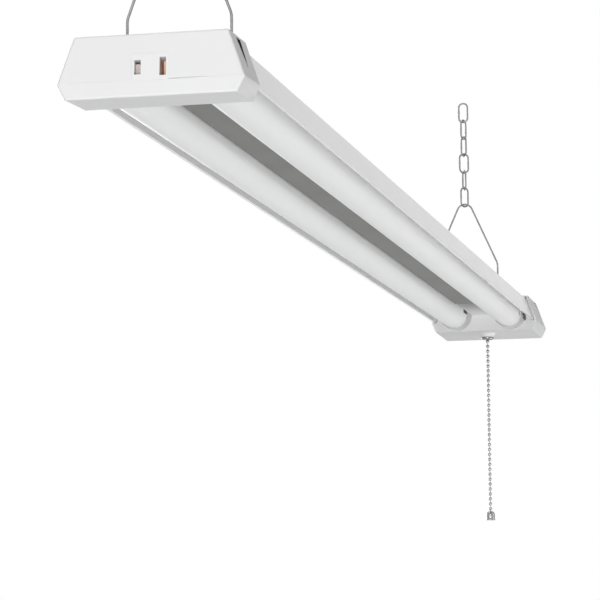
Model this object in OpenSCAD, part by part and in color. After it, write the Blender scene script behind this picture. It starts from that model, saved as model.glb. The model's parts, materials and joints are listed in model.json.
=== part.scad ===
// Hanging twin-tube shop light on two chains, with an outlet in its near cap
// and a pull chain switch in its far cap.
// Millimetres. +X runs along the light to the pull chain end, +Z is up, and the
// origin is on the housing's top plate, midway between its two screw holes.

/* [Overall] */
// Length over both end caps
light_length = 1150; // [900:10:1500]

/* [Housing] */
// Width of the housing's top plate, corner to corner
housing_top_w = 76; // [74:1:90]
// Height of the housing's side walls
wall_h = 18; // [16.5:0.5:19]
// How far each side wall spreads outwards on its way down
wall_spread = 6; // [4:0.5:8]
// Thickness of the housing, tray and cover steel
sheet_t = 0.8; // [0.6:0.1:1]
// Outside radius of the two long top corners
corner_r = 3; // [2:0.5:4]
// Distance between the two screw holes in the top plate
screw_hole_spacing = 600; // [300:10:700]
// Diameter of the screw holes in the top plate
screw_hole_d = 4.5; // [4:0.5:6]

/* [Tray] */
// Depth of the tray's underside below the top plate
tray_drop = 12.9; // [12.7:0.1:14.6]
// Height of the lip that stands below each side wall
lip_h = 1.8; // [1:0.2:2.4]
// How far the lip stands proud of the side wall
lip_proud = 0.3; // [0.2:0.05:0.35]
// Gap between the grey cover and each tube
cover_gap = 0.5; // [0.3:0.1:2]
// Length of the bare tray left between the grey cover and the far cap
cover_stop = 88; // [60:2:150]

/* [Tubes] */
// Outside diameter of each tube
tube_d = 24.4; // [22:0.2:25]
// Distance of the middle of each tube inwards from the housing's top corner
tube_inset = 13.8; // [12.6:0.1:14.2]
// Depth of the middle of each tube below the top plate
tube_drop = 14.3; // [14:0.1:15]
// Wall of the diffuser
diffuser_t = 1.2; // [1:0.1:1.5]
// Outside diameter of the tube ends inside the caps
tube_end_d = 22.8; // [20:0.2:22.8]
// Outside diameter of the collars in view between the tubes and the caps
collar_d = 26.4; // [24.4:0.2:26.8]
// Length of collar in view at the far cap
far_end_show = 20; // [15:1:45]
// Length of collar in view at the near cap
near_end_show = 3; // [2:1:20]
// Length of each tube end inside a cap
end_grip = 8; // [6:0.5:9]
// Width of each light-emitting board
board_w = 14; // [10:1:15]
// Thickness of each light-emitting board
board_t = 1; // [0.8:0.1:1.2]
// Distance from one emitter to the next
emitter_pitch = 24; // [18:1:60]

/* [End caps] */
// Wall of the moulded caps
cap_wall = 1.6; // [1.4:0.1:2]
// Gap between the caps and the housing
cap_gap = 0.6; // [0.5:0.05:0.8]
// Gap between the caps and the top plate
cap_top_gap = 0.3; // [0.2:0.05:0.5]
// Depth of the crease round the caps below the top plate
crease_drop = 21.8; // [21.7:0.1:22.6]
// Rise of the crease from the caps' outer end to their mouth
crease_rise = 1.8; // [0:0.1:1.8]
// Depth of the caps' bottom below the top plate, at their outer end
cap_drop = 29.8; // [29.8:0.1:33]
// Rise of the caps' bottom from their outer end to their mouth
cap_bottom_rise = 1.6; // [0.4:0.1:1.6]
// Width of the slanting facet below the caps' crease, seen from below
cap_chamfer = 4.1; // [3.6:0.1:5]
// Depth of the near cap along the light
near_cap_depth = 34.5; // [32:0.5:50]
// Depth of the far cap along the light
far_cap_depth = 62.5; // [58:0.5:80]
// How far the top edge of a cap's end leans back from its crease
end_lean = 1.2; // [0.6:0.1:2]
// Radius on the caps' edges
cap_edge_r = 1.2; // [0.8:0.1:1.5]
// Gap round the tube ends in the caps' mouths
mouth_gap = 0.3; // [0.2:0.05:0.4]
// Length of the far cap's tongue under the tray
tongue_length = 86; // [20:2:150]
// Gap between the far cap's tongue and each collar
tongue_gap = 0.4; // [0.3:0.1:2]
// Distance of the cap screws from each end of the light
cap_screw_inset = 11; // [10:0.5:12]
// Distance of the cap screws inwards from the housing's top corner
cap_screw_edge = 16; // [13:1:20]
// Shank diameter of the cap screws
cap_screw_d = 3; // [2.5:0.5:3.5]

/* [Outlet] */
// Width of the outlet's flush face
outlet_w = 18.6; // [17:0.2:22]
// Height of the outlet's flush face
outlet_h = 13.6; // [12:0.2:15]
// Depth of the outlet body
outlet_depth = 20; // [16:1:22]
// Depth of the outlet's middle below the top plate
outlet_drop = 15.1; // [15:0.1:15.4]
// Distance between the middles of the two blade slots
slot_spacing = 12.7; // [12.7:0.1:13]
// Width of the blade slots
slot_w = 3.2; // [2.2:0.1:3.4]
// Height of the live blade's slot
live_slot_h = 7.2; // [6.4:0.1:7.8]
// Height of the neutral blade's slot
neutral_slot_h = 9; // [8:0.1:9.4]

/* [Hangers and chains] */
// Distance of the near hanger from the near end
near_hanger_inset = 55; // [40:1:200]
// Distance of the far hanger from the far end
far_hanger_inset = 162; // [100:1:300]
// Diameter of the hanger wire
hanger_wire = 1.8; // [1.6:0.1:2.2]
// Distance of a hanger's legs inwards from the housing's top corner
hanger_edge = 10.5; // [8:0.5:12]
// Height of the far hanger's bends above the top plate
far_bend_z = 18; // [12:1:24]
// Height of the near hanger's bends above the top plate
near_bend_z = 22; // [12:1:26]
// Height of the top of the far hanger's arch above the top plate
hanger_top_z = 71; // [60:1:90]
// Radius of the arch at the top of the hanger
arch_r = 6.6; // [5:0.2:8]
// Length of the foot under the top plate
foot_length = 6; // [5:0.5:7]
// Wire diameter of the chain links
link_wire = 1.5; // [1.2:0.1:1.8]
// Outside length of a chain link
link_length = 18; // [15:0.5:24]
// Outside width of a chain link
link_w = 9; // [8:0.5:11]
// Play between neighbouring links
link_gap = 0.3; // [0.25:0.05:0.5]

/* [Pull switch] */
// Distance of the pull chain from the far end
pull_inset = 42; // [40:0.5:44]
// Outside diameter of the moulded boss under the far cap
boss_d = 15; // [13:0.2:17]
// Height of the moulded boss
boss_h = 3.2; // [2.6:0.2:6]
// Outside diameter of the bell mouth's rim
mouth_d = 11.2; // [9.2:0.2:12]
// Bore of the bell mouth
mouth_bore = 4.6; // [4.2:0.1:5]
// Diameter of the beads
bead_d = 3.2; // [2.4:0.1:3.4]
// Distance from one bead to the next
bead_pitch = 4.4; // [4.2:0.1:5.2]
// Number of beads below the bell mouth
bead_count = 36; // [8:1:60]
// Diameter of the wire between beads
bead_neck_d = 0.9; // [0.7:0.1:1.1]
// Diameter of the pull bell's rim
bell_d = 7.6; // [6:0.2:10]
// Height of the pull bell
bell_h = 8; // [7:0.5:12]
// Travel of the pull chain
pull_travel = 7; // [5:0.5:7]

/* [Driver] */
// Length of the driver case
driver_length = 200; // [120:5:300]
// Width of the driver case
driver_w = 30; // [26:1:32]
// Distance of the driver case below the top plate's underside
driver_head_room = 1; // [0.5:0.1:2]

/* [Cord inlet] */
// Bore of the cord gland in the far cap's end
gland_bore = 7.5; // [6:0.5:8.5]
// Outside diameter of the gland where it passes the cap
gland_d = 11; // [10.5:0.5:12]

/* [Hidden] */
$fn = 48;

// Colours
WHITE_PAINT = [0.9, 0.9, 0.9];
WHITE_PLASTIC = [0.93, 0.93, 0.94];
GREY_PAINT = [0.52, 0.52, 0.5];
LENS = [0.96, 0.97, 0.97];
ZINC = [0.6, 0.6, 0.6];
BRASS = [0.78, 0.58, 0.35];
DARK = [0.2, 0.2, 0.22];

eps = 0.01;
hair = 0.1;
bend_swell = 0.04;
bend_grip = 0.1;
seam = 0.03;
end_x = light_length / 2;

// ---------- plane geometry ----------

function unit(v) = v / norm(v);
function turned(v, a) = [v.x * cos(a) - v.y * sin(a), v.x * sin(a) + v.y * cos(a)];
function left_of(v) = [-v.y, v.x];
function half_angle(a, b, c) = acos(unit(a - b) * unit(c - b)) / 2;
function bend_centre(a, b, c, r) = b + unit(unit(a - b) + unit(c - b)) * r / sin(half_angle(a, b, c));
function bend_start(a, b, c, r) = b + unit(a - b) * r / tan(half_angle(a, b, c));
function bend_side(a, b, c) = sign(cross(b - a, c - b));

// The corner b of the path a, b, c, rounded to the radius r
function corner(a, b, c, r, steps = 8) =
    let (centre = bend_centre(a, b, c, r), from = bend_start(a, b, c, r) - centre,
         sweep = bend_side(a, b, c) * (180 - 2 * half_angle(a, b, c)))
    [for (k = [0:steps]) centre + turned(from, sweep * k / steps)];

// The mitred offset of point i of a path, to the path's left
function mitre(path, i) =
    let (before = i > 0 ? unit(path[i] - path[i - 1]) : unit(path[1] - path[0]),
         after = i < len(path) - 1 ? unit(path[i + 1] - path[i]) : before,
         m = unit(left_of(before + after)))
    m / (m * left_of(before));

// The outline of bent sheet of thickness t that lies to the left of a path
function sheet_outline(path, t) =
    concat(path, [for (i = [len(path) - 1:-1:0]) path[i] + mitre(path, i) * t]);

// Mirrors a half outline, drawn for +Y from the middle outwards, to a whole one
function both_sides(half) = concat(half, [for (i = [len(half) - 1:-1:0]) [-half[i].x, half[i].y]]);

// Draws its children in the YZ plane and extrudes them from x0 to x1
module along_x(x0, x1) {
    translate([x0, 0, 0]) rotate([90, 0, 90]) linear_extrude(x1 - x0) children();
}

// A block given by its lowest and highest corners
module block(low, high) {
    translate(low) cube(high - low);
}

// Round wire along a path in the XY plane, bent to the radius r[i] at each inner point.
// A bend is a hair thicker than the straights, which reach a little way into it.
module bent_wire(path, r, d) {
    last = len(path) - 1;
    for (i = [0:last - 1]) {
        from = i == 0 ? path[0] : bend_start(path[i + 1], path[i], path[i - 1], r[i - 1]);
        to = i == last - 1 ? path[last] : bend_start(path[i], path[i + 1], path[i + 2], r[i]);
        before = i == 0 ? 0 : bend_grip;
        after = i == last - 1 ? 0 : bend_grip;
        translate(from) rotate([0, 0, atan2(to.y - from.y, to.x - from.x)]) rotate([0, 90, 0])
            translate([0, 0, -before]) cylinder(h = norm(to - from) + before + after, d = d);
    }
    for (i = [1:last - 1]) {
        centre = bend_centre(path[i - 1], path[i], path[i + 1], r[i - 1]);
        side = bend_side(path[i - 1], path[i], path[i + 1]);
        first = side > 0 ? bend_start(path[i - 1], path[i], path[i + 1], r[i - 1])
                         : bend_start(path[i + 1], path[i], path[i - 1], r[i - 1]);
        translate(centre) rotate([0, 0, atan2(first.y - centre.y, first.x - centre.x)])
            rotate_extrude(angle = 180 - 2 * half_angle(path[i - 1], path[i], path[i + 1]))
                translate([r[i - 1], 0]) circle(d = d + bend_swell);
    }
}

// ---------- housing and tray ----------

wall_slope = wall_spread / wall_h;
wall_lean = sqrt(1 + wall_slope * wall_slope);
// Half width of the housing's outer surface at the height z, and of its inner surface
function wall_y(z) = housing_top_w / 2 - wall_slope * z;
function inner_wall_y(z) = wall_y(z) - sheet_t * wall_lean;

end_gap = 3;
housing_x = end_x - end_gap;
tray_z = -tray_drop;
lip_z = -wall_h - lip_h;
near_mouth_x = -end_x + near_cap_depth;
far_mouth_x = end_x - far_cap_depth;
tray_overlap = 6;

near_hanger_x = -end_x + near_hanger_inset;
far_hanger_x = end_x - far_hanger_inset;
hanger_slot_l = 5.4;
hanger_slot_w = hanger_wire + 0.8;
foot_play = 0.3;
foot_z = -sheet_t - foot_play - hanger_wire / 2;
hanger_leg_y = housing_top_w / 2 - hanger_edge;

tube_y = housing_top_w / 2 - tube_inset;
tube_z = -tube_drop;
tube_r = tube_d / 2;
tube_end_r = tube_end_d / 2;
collar_r = collar_d / 2;
cover_w = 2 * (tube_y - tube_r - cover_gap);
tongue_w = 2 * (tube_y - collar_r - tongue_gap);
cap_screw_y = housing_top_w / 2 - cap_screw_edge;
near_tube_x = near_mouth_x + near_end_show;
far_tube_x = far_mouth_x - far_end_show;

// Wedge-shaped side openings of the caps, measured from the cap's outer end
wedge_top_z = 0.2;
wedge_top = [13.6, 21.6];
wedge_tip = [16.4, -14.5];
notch_y = wall_y(0) - 3.2;
notch_reach = 10;

function wedge_points(grow) =
    [[wedge_top[0] - grow, wedge_top_z], [wedge_top[1] + grow, wedge_top_z],
     [wedge_tip.x + 0.8 + grow, wedge_tip.y - grow], [wedge_tip.x - grow, wedge_tip.y - grow]];

// The housing's notches behind the wedges, long enough that no wall shows through them
module wedge_notches(end) {
    for (side = [-1, 1])
        scale([-end, 1, 1])
            block([-end_x + wedge_top[0] - 2.4, side > 0 ? notch_y : -notch_y - 24, wedge_tip.y - 1],
                  [-end_x + wedge_top[1] + notch_reach, side > 0 ? notch_y + 24 : -notch_y, 1]);
}

// The wedges of the cap at one end, through both of its sides; end is -1 or 1
module side_wedges(end, grow = 0) {
    for (side = [-1, 1])
        scale([-end, 1, 1]) translate([-end_x, side * wall_y(0), 0])
            rotate([90, 0, 0]) linear_extrude(24, center = true) polygon(wedge_points(grow));
}

// The channel's section: its outside down one wall, then its inside back up
module housing_section() {
    inner_top = [inner_wall_y(-sheet_t), -sheet_t];
    foot = [wall_y(-wall_h), -wall_h];
    inner_foot = [inner_wall_y(-wall_h), -wall_h];
    inner_corner = corner([0, -sheet_t], inner_top, inner_foot, corner_r - sheet_t);
    polygon(both_sides(concat([[0, 0]], corner([0, 0], [housing_top_w / 2, 0], foot, corner_r),
                              [foot, inner_foot],
                              [for (i = [len(inner_corner) - 1:-1:0]) inner_corner[i]],
                              [[0, -sheet_t]])));
}

module housing() {
    color(WHITE_PAINT) difference() {
        along_x(-housing_x, housing_x) housing_section();
        for (x = [near_hanger_x, far_hanger_x], side = [-1, 1])
            translate([x, side * hanger_leg_y, 0])
                cube([hanger_slot_l, hanger_slot_w, 3 * sheet_t], center = true);
        for (side = [-1, 1])
            translate([side * screw_hole_spacing / 2, 0, -2 * sheet_t])
                cylinder(h = 3 * sheet_t, d = screw_hole_d);
        for (end = [-1, 1], side = [-1, 1])
            translate([end * (end_x - cap_screw_inset), side * cap_screw_y, -2 * sheet_t])
                cylinder(h = 3 * sheet_t, d = cap_screw_d);
        translate([ground_x, ground_y, -2 * sheet_t]) cylinder(h = 3 * sheet_t, d = ground_screw_d);
        for (end = [-1, 1]) wedge_notches(end);
    }
}

// Half of the tray's section: flat, a side inside the wall, and the lip below it
function tray_half() =
    [[0, tray_z + sheet_t], [inner_wall_y(tray_z + sheet_t) - seam, tray_z + sheet_t],
     [inner_wall_y(-wall_h) - seam, -wall_h - seam], [wall_y(-wall_h) + lip_proud, -wall_h - seam],
     [wall_y(lip_z) + lip_proud, lip_z], [inner_wall_y(lip_z) - sheet_t, lip_z],
     [inner_wall_y(tray_z) - sheet_t * wall_lean, tray_z], [0, tray_z]];

clip_x = far_tube_x - 9;
clip_w = 6;
clip_hole_w = 3.2;
near_clip_x = near_tube_x + 20;
lead_hole_d = 6;

module reflector_tray() {
    color(WHITE_PAINT) difference() {
        along_x(near_mouth_x - tray_overlap, far_mouth_x + tray_overlap)
            polygon(both_sides(tray_half()));
        for (side = [-1, 1], x = [near_tube_x - 1, far_tube_x + 8])
            translate([x, side * tube_y, tray_z - sheet_t]) cylinder(h = 3 * sheet_t, d = lead_hole_d);
        for (x = [cover_x0 + cover_screw_inset, cover_x1 - cover_screw_inset])
            translate([x, cover_screw_y, tray_z - sheet_t])
                cylinder(h = 3 * sheet_t, d = 1.8);
    }
}

cover_x0 = near_tube_x + 0.5;
cover_x1 = far_mouth_x - cover_stop;
cover_side_w = 3;
cover_side_drop = 0.5;
cover_screw_inset = 4;
cover_screw_d = 3.4;
cover_screw_y = -cover_w / 2 + cover_side_w + 2.1;

// The grey cover between the tubes, with its long edges rolled down
module driver_cover() {
    low = tray_z - sheet_t;
    flat_y = cover_w / 2 - cover_side_w;
    half = concat([[0, low]], corner([0, low], [flat_y, low], [cover_w / 2, low - cover_side_drop], 4, 4),
                  [[cover_w / 2, low - cover_side_drop]]);
    path = [for (i = [len(half) - 1:-1:0]) half[i]];
    color(GREY_PAINT) difference() {
        along_x(cover_x0, cover_x1)
            polygon(sheet_outline(concat(path, [for (i = [1:len(half) - 1]) [-half[i].x, half[i].y]]),
                                  -sheet_t));
        for (x = [cover_x0 + cover_screw_inset, cover_x1 - cover_screw_inset])
            translate([x, cover_screw_y, low - 1]) cylinder(h = 3, d = 1.8);
    }
}

// The small dark screws at the two ends of the cover
module cover_screws() {
    head_h = 0.9;
    color(DARK)
        for (x = [cover_x0 + cover_screw_inset, cover_x1 - cover_screw_inset])
            translate([x, cover_screw_y, tray_z - sheet_t]) difference() {
                union() {
                    translate([0, 0, -head_h])
                        cylinder(h = head_h, d1 = cover_screw_d - 0.8, d2 = cover_screw_d);
                    translate([0, 0, -0.5]) cylinder(h = 5, d = 1.6);
                }
                translate([0, 0, -head_h]) cube([4, 0.5, 0.8], center = true);
            }
}

// ---------- tubes ----------

rail_half_w = 9;
rail_foot_y = tube_r - diffuser_t - 0.6;
hook_reach = 1.6;
hook_t = 1;
hook_top = tray_z - 1.4;
rail_base_t = 1.2;
rail_leg_t = 1;
rail_foot_z = hook_top - hook_t - 0.1;
board_z = tray_z - rail_base_t;

// Children are drawn about the middle of the tube at the height of the top plate
module at_tube(side) {
    translate([0, side * tube_y, 0]) children();
}

// The part of a round section that lies below the tray
module below_tray(r) {
    intersection() {
        translate([0, tube_z]) circle(r = r, $fn = 96);
        translate([-r - 1, tray_z - 2 * r - 2]) square([2 * r + 2, 2 * r + 2]);
    }
}

module diffuser(side) {
    inner_r = tube_r - diffuser_t;
    hook_y = sqrt(inner_r * inner_r - pow(hook_top - tube_z, 2));
    color(LENS) at_tube(side) along_x(near_tube_x, far_tube_x) {
        difference() {
            below_tray(tube_r);
            translate([0, tube_z]) circle(r = inner_r, $fn = 96);
        }
        for (s = [-1, 1])
            translate([s * (hook_y + 0.4 - hook_reach / 2), hook_top - hook_t / 2])
                square([hook_reach, hook_t], center = true);
    }
}

// The aluminium rail that carries a board and holds the diffuser's hooks
module rail(side) {
    leg_bottom = rail_foot_z - rail_leg_t;
    color(ZINC) at_tube(side) along_x(near_tube_x, far_tube_x)
        polygon(both_sides([[0, tray_z], [rail_half_w, tray_z], [rail_half_w, rail_foot_z],
                            [rail_foot_y, rail_foot_z], [rail_foot_y, leg_bottom],
                            [rail_half_w - rail_leg_t, leg_bottom],
                            [rail_half_w - rail_leg_t, board_z], [0, board_z]]));
}

module led_board(side) {
    inset = 4;
    color(WHITE_PAINT) at_tube(side)
        block([near_tube_x + inset, -board_w / 2, board_z - board_t],
              [far_tube_x - inset, board_w / 2, board_z]);
}

emitter_size = [3.5, 2.8, 0.8];

module emitters(side) {
    span = far_tube_x - near_tube_x - 2 * emitter_pitch;
    count = floor(span / emitter_pitch);
    start = (near_tube_x + far_tube_x - count * emitter_pitch) / 2;
    color([0.95, 0.85, 0.45]) at_tube(side)
        for (i = [0:count])
            translate([start + i * emitter_pitch, 0, board_z - board_t - emitter_size.z / 2])
                cube(emitter_size, center = true);
}

tube_end_wall = 1.5;

// One tube end: a collar in view from the diffuser to the cap, then a D-shaped cup inside the cap
module tube_end(from, mouth, to) {
    out = mouth > from ? 1 : -1;
    difference() {
        union() {
            along_x(min(from, mouth - out * hair), max(from, mouth - out * hair)) below_tray(collar_r);
            along_x(min(mouth - out * tube_end_wall, to), max(mouth - out * tube_end_wall, to))
                below_tray(tube_end_r);
        }
        along_x(min(from - out * eps, to - out * tube_end_wall),
                max(from - out * eps, to - out * tube_end_wall))
            intersection() {
                below_tray(tube_end_r - tube_end_wall);
                translate([-tube_r, tray_z - 2 * tube_r - tube_end_wall]) square(2 * tube_r);
            }
    }
}

module tube_ends(side) {
    color(WHITE_PLASTIC) at_tube(side) {
        tube_end(near_tube_x, near_mouth_x, near_mouth_x - end_grip);
        tube_end(far_tube_x, far_mouth_x, far_mouth_x + end_grip);
    }
}

// Spring clips on the tray that grip the tubes beside their ends
module tube_clips() {
    leg_t = 0.7;
    leg_h = 6.5;
    foot_w = 2.2;
    color(DARK)
        for (side = [-1, 1], x = [near_clip_x, clip_x])
            scale([1, side, 1]) translate([x, tube_y + tube_r + 0.35, tray_z]) {
                block([0, 0, -leg_h], [clip_w, leg_t, 0]);
                block([0, leg_t - eps, -leg_t], [clip_w, foot_w, 0]);
            }
}

// ---------- end caps ----------

cap_top_z = cap_top_gap + cap_wall;
crease_z = -crease_drop;
cap_gap_y = cap_gap * wall_lean;
cap_wall_y = cap_wall * wall_lean;
cap_top_y = wall_y(cap_top_z) + cap_gap_y + cap_wall_y;
crease_y = wall_y(crease_z) + cap_gap_y + cap_wall_y;
cap_bottom_y = crease_y - cap_chamfer;
crease_groove = [0.3, 0.35];

// One corner of a cap as a small ball, set in from its sharp corner by its radius
module cap_ball(x, y, z, r) {
    for (side = [-1, 1]) translate([x, side * y, z]) sphere(r = r, $fn = 24);
}

// The outside of a cap whose outer end is at x = 0 and whose mouth is at x = depth
module cap_outside(depth) {
    r = cap_edge_r;
    bottom_z = -cap_drop;
    rim_z = bottom_z + cap_bottom_rise;
    rim_crease_z = crease_z + crease_rise;
    hull() {
        cap_ball(end_lean + r, cap_top_y - r * wall_lean, cap_top_z - r, r);
        cap_ball(r, crease_y - r, crease_z, r);
        cap_ball(r, cap_bottom_y - r / 2, bottom_z + r, r);
        translate([depth, 0, 0]) rotate([90, 0, 90]) linear_extrude(eps)
            polygon(both_sides([[0, cap_top_z], [cap_top_y, cap_top_z],
                                [crease_y - wall_slope * crease_rise, rim_crease_z],
                                [cap_bottom_y, rim_z], [0, rim_z]]));
    }
}

// Half outline of the room inside a cap, at a bottom height, with its crease raised a little
function cap_room_half(bottom, rise = 0) =
    [[0, cap_top_z - cap_wall], [cap_top_y - cap_wall_y + wall_slope * cap_wall, cap_top_z - cap_wall],
     [crease_y - wall_slope * rise - cap_wall_y, crease_z + rise],
     [cap_bottom_y - cap_wall * 0.8, bottom + cap_wall],
     [0, bottom + cap_wall]];

mouth_wall = 2;

// The room inside a cap, from its end wall to its mouth wall
module cap_inside(depth) {
    bottom = -cap_drop;
    hull() {
        translate([end_lean + cap_wall, 0, 0]) rotate([90, 0, 90]) linear_extrude(eps)
            polygon(both_sides(cap_room_half(bottom)));
        translate([depth - mouth_wall, 0, 0]) rotate([90, 0, 90]) linear_extrude(eps)
            polygon(both_sides(cap_room_half(bottom + cap_bottom_rise, crease_rise / 2)));
    }
}

// The openings in a cap's mouth wall: the housing, the lips, the tube ends and slots beside them
module mouth_openings() {
    lip_in = inner_wall_y(lip_z) - sheet_t - mouth_gap;
    side_in = inner_wall_y(tray_z) - sheet_t * wall_lean - mouth_gap;
    polygon(both_sides([[0, cap_top_z - cap_wall],
                        [cap_top_y - cap_wall_y + wall_slope * cap_wall, cap_top_z - cap_wall],
                        [wall_y(lip_z) + cap_gap_y, lip_z - mouth_gap],
                        [lip_in, lip_z - mouth_gap],
                        [side_in, tray_z - hair], [0, tray_z - hair]]));
    for (side = [-1, 1]) translate([side * tube_y, 0]) {
        intersection() {
            translate([0, tube_z]) circle(r = tube_end_r + mouth_gap, $fn = 96);
            translate([-tube_d, tray_z - 2 * tube_d]) square(2 * tube_d);
        }
        scale([side, 1]) translate([tube_end_r - 1, tray_z - 7]) square([3, 7]);
    }
}

// A moulded cap in its own frame: outer end at x = 0, mouth at x = depth
module cap_shell(depth) {
    difference() {
        cap_outside(depth);
        cap_inside(depth);
        block([-1, 1.2 - crease_y, crease_z],
              [crease_groove[0], crease_y - 1.2, crease_z + crease_groove[1]]);
        along_x(depth - mouth_wall - hair, depth + 1) mouth_openings();
        for (side = [-1, 1])
            translate([cap_screw_inset, side * cap_screw_y, 0]) {
                translate([0, 0, -1]) cylinder(h = cap_top_z + 2, d = cap_screw_d + 0.4);
                translate([0, 0, cap_top_z - screw_head_h])
                    cylinder(h = screw_head_h + eps, d1 = cap_screw_d + 0.4, d2 = screw_head_d + 0.4);
            }
    }
}

// Places a cap's own frame at the near end (-1) or the far end (1)
module at_end(end) {
    translate([end * end_x, 0, 0]) mirror([end > 0 ? 1 : 0, 0, 0]) children();
}

// Frame on the leaning upper facet of a cap's end, with its origin at the outlet's middle
module at_outlet() {
    lean_angle = atan(end_lean / (cap_top_z - crease_z));
    setback = end_lean * (-outlet_drop - crease_z) / (cap_top_z - crease_z);
    translate([-end_x + setback, 0, -outlet_drop]) rotate([0, lean_angle, 0]) children();
}

module near_cap() {
    color(WHITE_PLASTIC) difference() {
        at_end(-1) cap_shell(near_cap_depth);
        at_outlet() cube([12, outlet_w + 0.2, outlet_h + 0.2], center = true);
        side_wedges(-1);
    }
}

pull_x = end_x - pull_inset;
far_bottom_z = -cap_drop + cap_bottom_rise * pull_inset / far_cap_depth;
bush_thread_d = 9;

module far_cap() {
    tongue_t = 1;
    color(WHITE_PLASTIC) {
        difference() {
            union() {
                at_end(1) cap_shell(far_cap_depth);
                translate([pull_x, 0, far_bottom_z - boss_h])
                    cylinder(h = boss_h + cap_wall, d1 = mouth_d + 0.8, d2 = boss_d + 1);
                block([far_mouth_x - tongue_length, -tongue_w / 2, tray_z - tongue_t],
                      [far_mouth_x + mouth_wall, tongue_w / 2, tray_z - hair]);
            }
            translate([pull_x, 0, far_bottom_z - boss_h - 1])
                cylinder(h = boss_h + cap_wall + 4, d = bush_thread_d);
            translate([end_x - 6, 0, gland_z]) rotate([0, 90, 0]) cylinder(h = 8, d = gland_d);
            translate([gland_seat_x, 0, gland_z]) rotate([0, 90, 0])
                cylinder(h = 8, d = gland_flange_d + 0.6);
            side_wedges(1);
        }
    }
}

screw_head_d = 5.6;
screw_head_h = 1.4;

// The four countersunk screws that hold the caps to the top plate
module cap_screws() {
    color(ZINC)
        for (end = [-1, 1], side = [-1, 1])
            translate([end * (end_x - cap_screw_inset), side * cap_screw_y, 0])
                difference() {
                    union() {
                        translate([0, 0, -6]) cylinder(h = 6 + cap_top_z - 0.1, d = cap_screw_d);
                        translate([0, 0, cap_top_z - 0.1 - screw_head_h])
                            cylinder(h = screw_head_h, d1 = cap_screw_d, d2 = screw_head_d);
                    }
                    for (a = [0, 90]) rotate([0, 0, a])
                        translate([0, 0, cap_top_z]) cube([3.2, 0.7, 1.6], center = true);
                }
}

// ---------- outlet ----------

outlet_face_t = 2;
chamber_w = slot_w + 1.2;

module outlet_body() {
    body_w = outlet_w - 1;
    body_h = outlet_h - 1;
    color(WHITE_PLASTIC) at_outlet() difference() {
        union() {
            block([0, -outlet_w / 2, -outlet_h / 2], [outlet_face_t, outlet_w / 2, outlet_h / 2]);
            block([outlet_face_t - eps, -body_w / 2, -body_h / 2], [outlet_depth, body_w / 2, body_h / 2]);
        }
        for (side = [-1, 1]) {
            slot_h = side > 0 ? live_slot_h : neutral_slot_h;
            translate([0, side * slot_spacing / 2, 0]) {
                block([-1, -slot_w / 2, -slot_h / 2], [outlet_face_t + eps, slot_w / 2, slot_h / 2]);
                block([outlet_face_t, -chamber_w / 2, -slot_h / 2 - 0.4],
                      [outlet_depth - 2, chamber_w / 2, slot_h / 2 + 0.4]);
            }
        }
    }
}

// A folded brass leaf that grips a blade behind its slot, with a tail through the body's back
module blade_contact(side, slot_h) {
    leaf_t = 0.5;
    leaf_h = slot_h - 1.4;
    from = outlet_face_t + 0.2;
    to = outlet_depth - 2;
    color(BRASS) at_outlet() translate([0, side * slot_spacing / 2, 0]) {
        for (s = [-1, 1])
            translate([0, s * (chamber_w / 2 - leaf_t / 2), 0])
                block([from, -leaf_t / 2, -leaf_h / 2], [to, leaf_t / 2, leaf_h / 2]);
        block([to - leaf_t, -chamber_w / 2, -leaf_h / 2], [to, chamber_w / 2, leaf_h / 2]);
    }
}

module live_contact() { blade_contact(1, live_slot_h); }
module neutral_contact() { blade_contact(-1, neutral_slot_h); }

// ---------- driver and leads ----------

case_z0 = tray_z + sheet_t;
case_z1 = -sheet_t - driver_head_room;
case_t = 1;

// The driver's folded cover, open at the bottom, with a foot at each end
module driver_case() {
    foot = 12;
    half = driver_length / 2;
    color(ZINC) difference() {
        union() {
            difference() {
                block([-half, -driver_w / 2, case_z0], [half, driver_w / 2, case_z1]);
                block([-half + case_t, -driver_w / 2 + case_t, case_z0 - 1],
                      [half - case_t, driver_w / 2 - case_t, case_z1 - case_t]);
            }
            for (s = [-1, 1])
                scale([s, 1, 1])
                    block([half - eps, -driver_w / 2, case_z0],
                          [half + foot, driver_w / 2, case_z0 + case_t]);
        }
        for (s = [-1, 1])
            translate([s * (half + foot / 2), 0, case_z0 - 1]) cylinder(h = 3, d = 3.4);
    }
}

driver_board_z = case_z0 + 1.6;

module driver_board() {
    half_l = driver_length / 2 - 6;
    half_w = driver_w / 2 - case_t - 0.5;
    color([0.2, 0.45, 0.25]) {
        block([-half_l, -half_w, driver_board_z], [half_l, half_w, driver_board_z + 1.2]);
        for (x = [-half_l + 4, half_l - 4])
            translate([x, 0, case_z0]) cylinder(h = driver_board_z - case_z0, d = 5);
    }
}

// Transformer, capacitors, choke and heat spreader on the driver board
module driver_parts() {
    z = driver_board_z + 1.2;
    room = case_z1 - case_t - z - 0.3;
    u = driver_length / 200;
    w = driver_w / 30;
    can_d = min(5.6 * w, room - 0.2);
    color(DARK) {
        block([-12 * u, -8 * w, z], [8 * u, 8 * w, z + room]);
        for (x = [30 * u, 44 * u]) translate([x, 0, z + can_d / 2])
            rotate([90, 0, 0]) cylinder(h = 16 * w, d = can_d, center = true);
        translate([-40 * u, 0, z]) cylinder(h = room, d = 10 * w);
        block([-70 * u, -9 * w, z], [-60 * u, 9 * w, z + room * 0.8]);
        block([62 * u, -4 * w, z], [72 * u, 4 * w, z + room * 0.6]);
    }
}

lead_d = 2;
lead_y = housing_top_w / 2 - 16;
lead_z = -9;

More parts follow.
